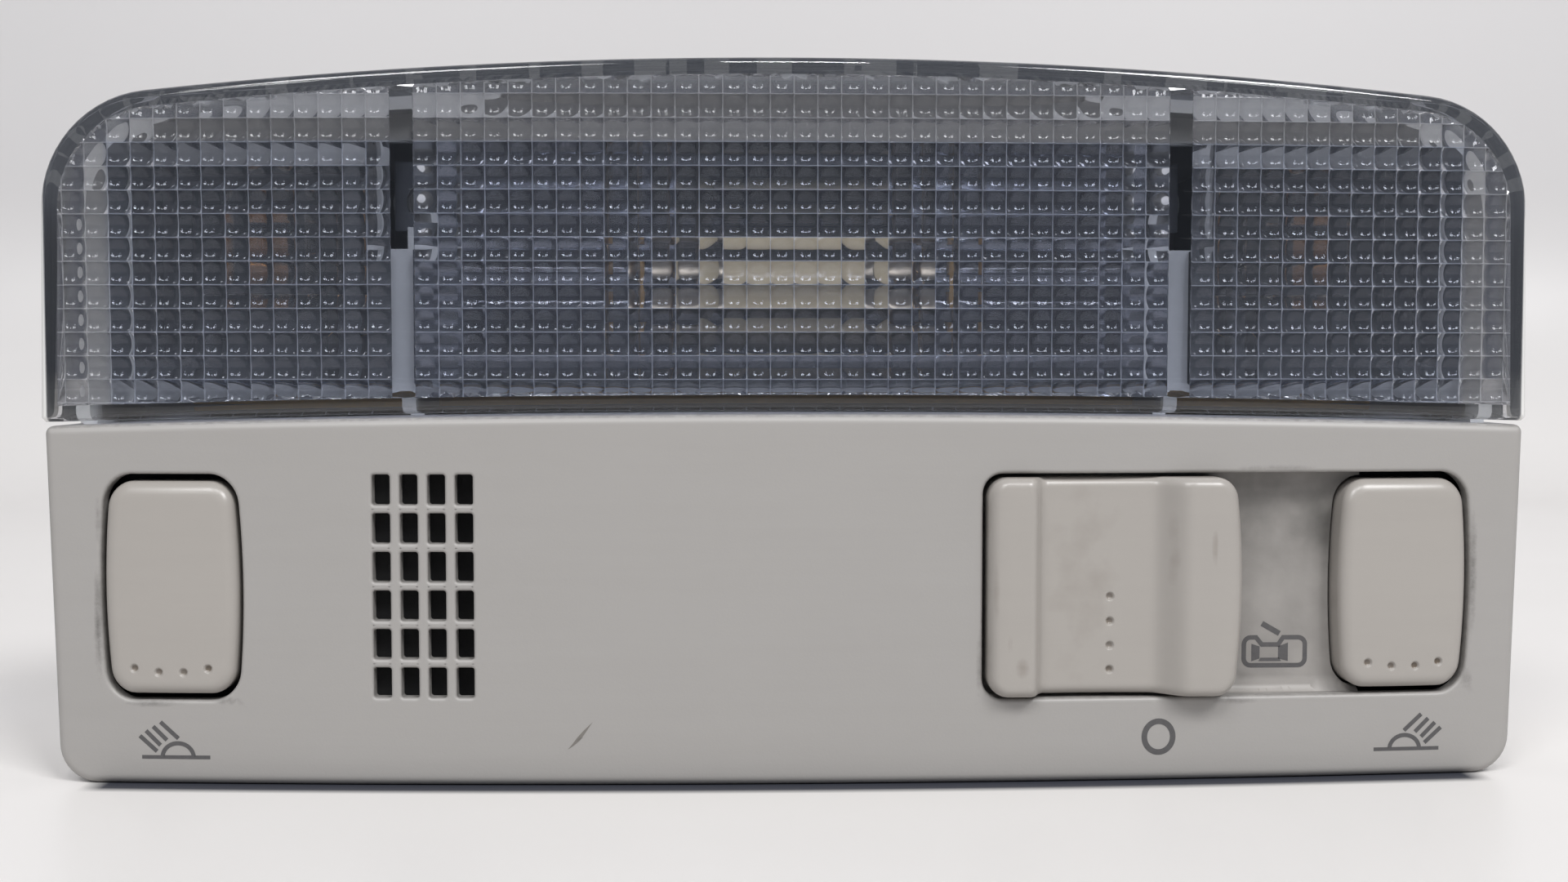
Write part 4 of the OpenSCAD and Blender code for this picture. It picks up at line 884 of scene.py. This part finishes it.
def make_knob():
    rim = filled(rounded_rect(0, 0, KNOB_W, KNOB_H, KNOB_R, 8), 0.6)
    bowed = np.clip(rim[:, 0] / (KNOB_W / 2), 0, 1) * KNOB_BOW * (rim[:, 1] / (KNOB_H / 2)) ** 2
    rim[:, 0] -= bowed
    rim = (rim + [KNOB_CX, KNOB_CZ])[::-1]

    def marking(p, out, in_dot):
        # Real stains, with painted shade in the valley and on the slope that rises to the right
        # ridge
        stains_and_shade = np.max([soft_patch(p, *spot) for spot in KNOB_STAINS_AND_SHADE], axis=0)
        return np.maximum(np.clip((out - 0.95) * 5, 0, 0.3) + 0.8 * in_dot + 0.1, stains_and_shade)

    spots = [(40.65, z) for z in (24.0, 20.82, 17.67, 14.55)]
    moulded_block("knob_cap", rim, (KNOB_CX, KNOB_CZ), (KNOB_W, KNOB_H), knob_depth, (1.4, 1.4),
                  RECESS_D - KNOB_ROOM, spots, (0.4, 0.8), "slide", "slide_knob", marking)


# Lens

def pillow_depth(p):
    """Depth of the lens's inner face: in each square cell a cap of a sphere bulges inwards.

    Along the two smooth strips the face is plain.
    """
    x = (p[:, 0] / PILLOW) % 1 - 0.5
    z = ((p[:, 1] - PILLOW_TOP_Z) / PILLOW) % 1 - 0.5
    sag = (PILLOW ** 2) * (0.25 + 0.25) / (2 * PILLOW_R)
    bulge = sag - (PILLOW ** 2) * (x ** 2 + z ** 2) / (2 * PILLOW_R)
    strip = (np.abs(p[:, 0]) > STRIP_IN) & (np.abs(p[:, 0]) < STRIP_OUT)
    return crown(p[:, 0]) + LENS_T + np.where(strip, 0.0, bulge)


def make_lens():
    shell, face, (inner_path, inner_front) = walled_front(
        lens_path, LENS_T, lambda p: crown(p[:, 0]) + LENS_T + LENS_SEAT)
    shell.cap(face, [], face_depth, face_grid(face[0], 4, 4, [], 2.0))
    cell = PILLOW * np.array([0.0, 0.04, 0.14, 0.27, 0.42, 0.58, 0.73, 0.86, 0.96])
    xs = (np.arange(-31, 31)[:, None] * PILLOW + cell).ravel()
    xs = xs[(np.abs(xs) < STRIP_IN + 0.01) | (np.abs(xs) > STRIP_OUT - 0.01)]
    walls = [s * e for s in (-1, 1) for e in (STRIP_IN + 0.03, STRIP_OUT - 0.03)]
    xs = np.sort(np.concatenate([xs, walls, [31 * PILLOW]]))
    zs = (PILLOW_TOP_Z + np.arange(-13, 2)[:, None] * PILLOW + cell).ravel()
    gx, gz = np.meshgrid(xs, zs)
    points = np.stack([gx.ravel(), gz.ravel()], 1)
    points = points[inside(points, pushed(inner_path, -0.12))]
    shell.cap((inner_path, inner_front), [], pillow_depth, points, flip=True)

    def marks(p):
        """1 on the pillows of the inner face, 0 on its two strips and everywhere else."""
        depth = p[:, 1] - FACE_Y - crown(p[:, 0])
        across = np.abs(p[:, 0])
        plain = (across > STRIP_IN - 0.01) & (across < STRIP_OUT + 0.01)
        return ((depth > 1.9) & (depth < 3.0) & ~plain).astype(float)

    shell.finish("lens_shell", SMOKED_LENS_WITH_PAINTED_LIGHT, "lens_clear", stands_for=("lens",), sharp=28,
                 marks=marks)


# Lamps

def make_centre_lamp():
    """Glass tube with drawn-in ends, its caps and its coiled wire."""
    origin = (0, FACE_Y + LAMP_D, LAMP_Z)
    r, half, neck, wall = 5.25, 12.4, 3.0, 0.6
    end = [(-half + 4 * s, neck + (r - neck) * math.sin(s * math.pi / 2))
           for s in np.linspace(0, 1, 9)]
    outer = end + [(-a, b) for a, b in reversed(end)]
    inner = [(a, b - wall) for a, b in reversed(outer)]
    turned("lamp_tube", outer + inner + outer[:1], origin, (1, 0, 0), FROSTED_GLASS,
           slot="lamp_glass", stands_for=("festoon_glass",))
    profile = [(12.2, 0.0), (12.2, 3.3), (12.5, 3.5), (18.4, 3.5), (19.0, 3.2), (19.5, 2.2),
               (19.9, 1.6), (20.6, 1.4), (21.0, 0.9), (21.0, 0.0)]
    for side, name in ((-1, "left"), (1, "right")):
        turned(f"lamp_end_{name}", profile, origin, (side, 0, 0), LAMP_CAP,
               slot="lamp_cap", stands_for=(f"festoon_cap_{name}",))
    coils, coil_r, wire_r, reach = 26, 0.45, 0.08, 7
    turns = np.linspace(0, 2 * math.pi * coils, coils * 10)
    ring = np.linspace(0, 2 * math.pi, 6, endpoint=False)
    rings = []
    for along, t in zip(np.linspace(-reach, reach, len(turns)), turns):
        centre = np.array([along, coil_r * math.cos(t), coil_r * math.sin(t)])
        out = np.array([0, math.cos(t), math.sin(t)])
        circle = np.outer(np.cos(ring), out) + np.outer(np.sin(ring), [1.0, 0, 0])
        rings.append(centre + wire_r * circle + origin)
    shell = Shell()
    shell.rings(rings, flip=True)
    shell.finish("lamp_wire", TUNGSTEN, "tungsten", stands_for=("festoon_filament",), sharp=80)


def make_reading_lamp(side):
    """Round glass bulb on a pinched foot: a cylinder that closes in a half sphere."""
    name = "left" if side < 0 else "right"
    r, tall = 4.75, 15.0
    a = np.radians(np.linspace(0, 90, 10))
    dome = [(0.3 + tall - r + r * math.sin(t), r * math.cos(t)) for t in a[:-1]]
    profile = [(-3.6, 0.0), (-3.6, 3.2), (0.2, 3.25), (1.0, r)] + dome + [(0.3 + tall, 0.0)]
    turned(f"reading_bulb_{name}", profile, (side * READING_X, FACE_Y + READING_D, READING_Z),
           (0, 0, 1), LAMP_GLASS, slot="lamp_glass", stands_for=(f"reading_lamp_{name}",))


# Printed icons

def ink_patch(name, outlines, hole=None, material=INK, depth=face_depth):
    """Flat print: each outline is filled and laid a hair in front of the surface that carries it.

    The hole is cut out of the first outline.
    """
    def lifted(p):
        return depth(p) - HAIR

    shell = Shell()
    for path in outlines:
        path = filled(np.asarray(path, float), 1.0)
        ring = path, shell.add(place(path, lifted(path)))
        cut = [] if hole is None else [(hole, shell.add(place(hole, lifted(hole))))]
        shell.cap(ring, cut, lifted, path[:0])
        hole = None
    shell.finish(name, material, "black_plastic")


def stroke(path, width, closed=False):
    """Outline of a line of a width: the path pushed to both sides along its normals."""
    path = np.asarray(path, float)
    ahead = np.roll(path, -1, 0) - path
    if not closed:
        ahead[-1] = ahead[-2]
    behind = np.roll(ahead, 1, 0)
    if not closed:
        behind[0] = ahead[0]
    a = ahead / np.linalg.norm(ahead, axis=1)[:, None]
    b = behind / np.linalg.norm(behind, axis=1)[:, None]
    n = np.stack([-(a + b)[:, 1], (a + b)[:, 0]], 1)
    n /= np.linalg.norm(n, axis=1)[:, None]
    reach = width / 2 / np.clip((n * np.stack([-a[:, 1], a[:, 0]], 1)).sum(1), 0.4, 1)
    left, right = path + n * reach[:, None], path - n * reach[:, None]
    return (left, right) if closed else np.concatenate([left, right[::-1]])


def reading_icon(name, x, side):
    """A lamp dome on a line with four rays that fall on it from one side."""
    base = [(x - 4.42, 3.33), (x + 4.42, 3.33), (x + 4.42, 3.81), (x - 4.42, 3.81)]
    dome = arc(0, 0, 1, 0, 180, 20) * [2.02, 1.8] + [x - side * 0.26, 3.57]
    tips = [(1.97, 8.1), (2.93, 7.52), (3.86, 6.96), (4.66, 6.3)]
    feet = [(-0.34, 5.98), (1.16, 5.77), (2.0, 5.1), (2.46, 4.31)]
    rays = [stroke([(x + side * a, b), (x + side * c, d)], 0.55)
            for (a, b), (c, d) in zip(tips, feet)]
    ink_patch(name, [base, stroke(dome, 0.55)] + rays)


def off_icon():
    """A plain ring."""
    middle = np.array([47.1, 5.78])
    circle = arc(0, 0, 1.0, 0, 360, 40)[:-1]
    ink_patch("icon_off", [circle * [2.24, 2.38] + middle], circle * [1.5, 1.64] + middle)


def door_icon():
    """A car seen from above with its door open: a rounded outline, a door and three panes."""
    x0, x1, z0, z1 = 59.4, 67.5, 14.2, 17.9
    r = 0.9
    notch = [(64.6, z1), (63.95, z1 - 0.95), (61.78, z1 - 0.95), (61.0, z1)]
    body = np.concatenate([
        arc(x0 + r, z1 - r, r, 90, 180, 5), arc(x0 + r, z0 + r, r, 180, 270, 5),
        arc(x1 - r, z0 + r, r, 270, 360, 5), arc(x1 - r, z1 - r, r, 0, 90, 5), np.array(notch)])
    outer, inner = stroke(body, 0.6, closed=True)
    if np.ptp(outer[:, 0]) < np.ptp(inner[:, 0]):
        outer, inner = inner, outer
    door = stroke([(61.75, 19.75), (64.1, 18.4)], 0.72)
    rear = [(60.4, 17.05), (61.5, 16.7), (61.5, 15.1), (60.4, 14.72)]
    front = [(65.25, 17.2), (63.95, 16.7), (63.95, 15.1), (65.25, 14.75)]
    sill = [(61.6, 15.2), (64.1, 15.2), (64.35, 14.75), (61.35, 14.75)]
    ink_patch("icon_door", [outer, door, rear, front, sill], inner,
              depth=lambda p: np.full(len(p), RECESS_D))


def scratch_mark():
    """A slanted rub mark under the middle of the cover: a thin sliver with a bent tail."""
    line = np.array([(-28.9, 4.75), (-28.2, 5.35), (-27.5, 6.1), (-26.7, 7.1), (-25.7, 8.3)])
    width = np.array([0.03, 0.26, 0.5, 0.34, 0.03])[:, None]
    off = width / 2 * np.array([0.75, -0.66])
    sliver = np.concatenate([line + off, (line - off)[::-1][1:-1]])
    branch = np.array([(-27.6, 5.95), (-26.9, 6.3), (-27.5, 6.2)])
    ink_patch("rub_mark", [sliver, branch], material=RUB)


# Carried solids

FINISHES = {
    "rear_housing": HOUSING_ABS, "centre_reflector": CHROME_FILM,
    "festoon_clip_left": BRASS, "festoon_clip_right": BRASS,
    "reading_shade_left": DARK_PLASTIC, "reading_shade_right": DARK_PLASTIC,
    "lamp_socket_left": BLACK_PLASTIC, "lamp_socket_right": BLACK_PLASTIC,
    "contact_strip_left": COPPER, "contact_strip_right": COPPER,
    "plunger_left": WHITE_ACETAL, "plunger_right": WHITE_ACETAL,
    "push_switch_left": BLACK_PLASTIC, "push_switch_right": BLACK_PLASTIC,
    "slide_carriage": WHITE_ACETAL, "contact_bridge": BRASS, "detent_spring": ZINC_STEEL,
    "circuit_board": LAMINATE, "switch_carrier": BLACK_PLASTIC, "carrier_screws": ZINC_STEEL,
    "mic_felt": FELT, "mic_holder": BLACK_PLASTIC, "mic_capsule": CAPSULE_CAN,
    "connector_shell": BLACK_PLASTIC, "connector_pins": BRASS,
    "screw_plate_left": ZINC_STEEL, "screw_plate_right": ZINC_STEEL,
    "supply_bar": BRASS, "earth_bar": BRASS,
}


def finish_carried():
    """Gives each solid that is carried over its material."""
    for node, material in FINISHES.items():
        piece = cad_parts[node]
        piece.data.materials.clear()
        piece.data.materials.append(material)


# Room

def make_stage():
    """A pale table that turns up into a backdrop far behind, darker higher up as painted shade,
    with a painted shadow line at the foot.
    """
    made, tree, shader, coords = new_material("white_table", "#DEDBD9", 0.35)
    tone = mottled(tree, coords, "#E6E3E1", "#DEDBD8", 90.0)
    spot = add(tree, "SeparateXYZ", {0: coords}).outputs
    # Painted shade: the backdrop darkens higher up
    height = add(tree, "MapRange", span(spot["Z"], 20, 140))
    colour = add(tree, "Mix", {0: height, "A": tone, "B": linear("#D0CECE")}, data_type="RGBA")
    across = add(tree, "Math", {0: spot["X"]}, operation="ABSOLUTE")
    # Painted shadow: a dark line on the table along the foot of the cover
    shade = add(tree, "MapRange", span(crowned_depth(tree, spot), FACE_Y - 3.9, FACE_Y - 1.9))
    for value, start, end in ((spot["Y"], FACE_Y + 15, FACE_Y + 12), (across, 91.0, 88.0)):
        shade = add(tree, "Math", {0: shade, 1: add(tree, "MapRange", span(value, start, end))},
                    operation="MULTIPLY")
    colour = add(tree, "Mix", {0: shade, "A": colour, "B": linear("#3E4048")}, data_type="RGBA")
    connect(shader, {"Base Color": colour})
    half, start, r, top = 3000, 400, 130, 2500
    x = np.linspace(-half, half, 13)
    a = np.radians(np.linspace(0, 90, 13))
    y = np.concatenate([np.linspace(-half, start, 9), start + r * np.sin(a)[1:], [start + r]])
    z = np.concatenate([np.zeros(9), r - r * np.cos(a)[1:], [top]])
    points = np.stack(np.meshgrid(x, y, indexing="ij"), -1)
    heights = np.broadcast_to(z, (len(x), len(y)))
    grid = np.concatenate([points, heights[:, :, None]], 2).reshape(-1, 3)
    i, j = np.meshgrid(np.arange(len(x) - 1), np.arange(len(y) - 1), indexing="ij")
    first = (i * len(y) + j).ravel()
    faces = np.stack([first, first + len(y), first + len(y) + 1, first + 1], 1)
    mesh = bpy.data.meshes.new("table")
    mesh.from_pydata((grid * MM).tolist(), [], faces.tolist())
    mesh.polygons.foreach_set("use_smooth", np.ones(len(faces), bool))
    mesh.materials.append(made)
    table = bpy.data.objects.new("table", mesh)
    bpy.context.scene.collection.objects.link(table)


# Soft boxes: name, place, height on the middle line that it looks at, side, power in watts
LAMPS = [
    ("left_box", (-600, -1150, 1500), 40, 600, 14.0),
    ("right_box", (800, -1050, 1500), 40, 600, 23.0),
    ("centre_box", (60, -1000, 1500), 70, 230, 5.0),
    ("left_spark", (-840, -1500, 1020), 70, 250, 1.5),
    ("right_spark", (840, -1500, 1020), 70, 250, 1.5),
]


def look_along(name, data, spot, ahead):
    """Places a lamp or camera at a spot in millimetres, looking along a direction."""
    made = bpy.data.objects.new(name, data)
    made.location = Vector(spot) * MM
    made.rotation_euler = ahead.to_track_quat("-Z", "Y").to_euler()
    bpy.context.scene.collection.objects.link(made)
    return made


def light_scene():
    world = bpy.data.worlds.new("studio")
    world.use_nodes = True
    connect(world.node_tree.nodes["Background"], {"Color": linear("#CBD3E2"), "Strength": 0.25})
    bpy.context.scene.world = world
    for name, spot, aim_z, side, power in LAMPS:
        light = bpy.data.lights.new(name, "AREA")
        light.shape = "RECTANGLE"
        light.size = light.size_y = side * MM
        light.energy = power
        look_along(name, light, spot, Vector((0, 0, aim_z)) - Vector(spot))


def set_camera():
    """Camera at the photograph's angle: a little to the left and above, turned to the right."""
    yaw, pitch = 0.0288, 0.0484
    ahead = Vector((math.sin(yaw) * math.cos(pitch), math.cos(yaw) * math.cos(pitch),
                    -math.sin(pitch)))
    data = bpy.data.cameras.new("view")
    data.sensor_width = 36.0
    data.lens = 37.41
    data.clip_start = 0.01
    bpy.context.scene.camera = look_along("view", data, (-7.25, FACE_Y - 205.95, 54.1), ahead)


set_camera()
light_scene()
make_stage()
finish_carried()
make_cover()
make_recess()
for end in (-1, 1):
    make_button(end)
    make_reading_lamp(end)
make_knob()
make_lens()
make_centre_lamp()
reading_icon("icon_reading_left", -79.1, -1)
reading_icon("icon_reading_right", 80.23, 1)
off_icon()
door_icon()
scratch_mark()

bpy.context.scene.view_settings.view_transform = "Standard"
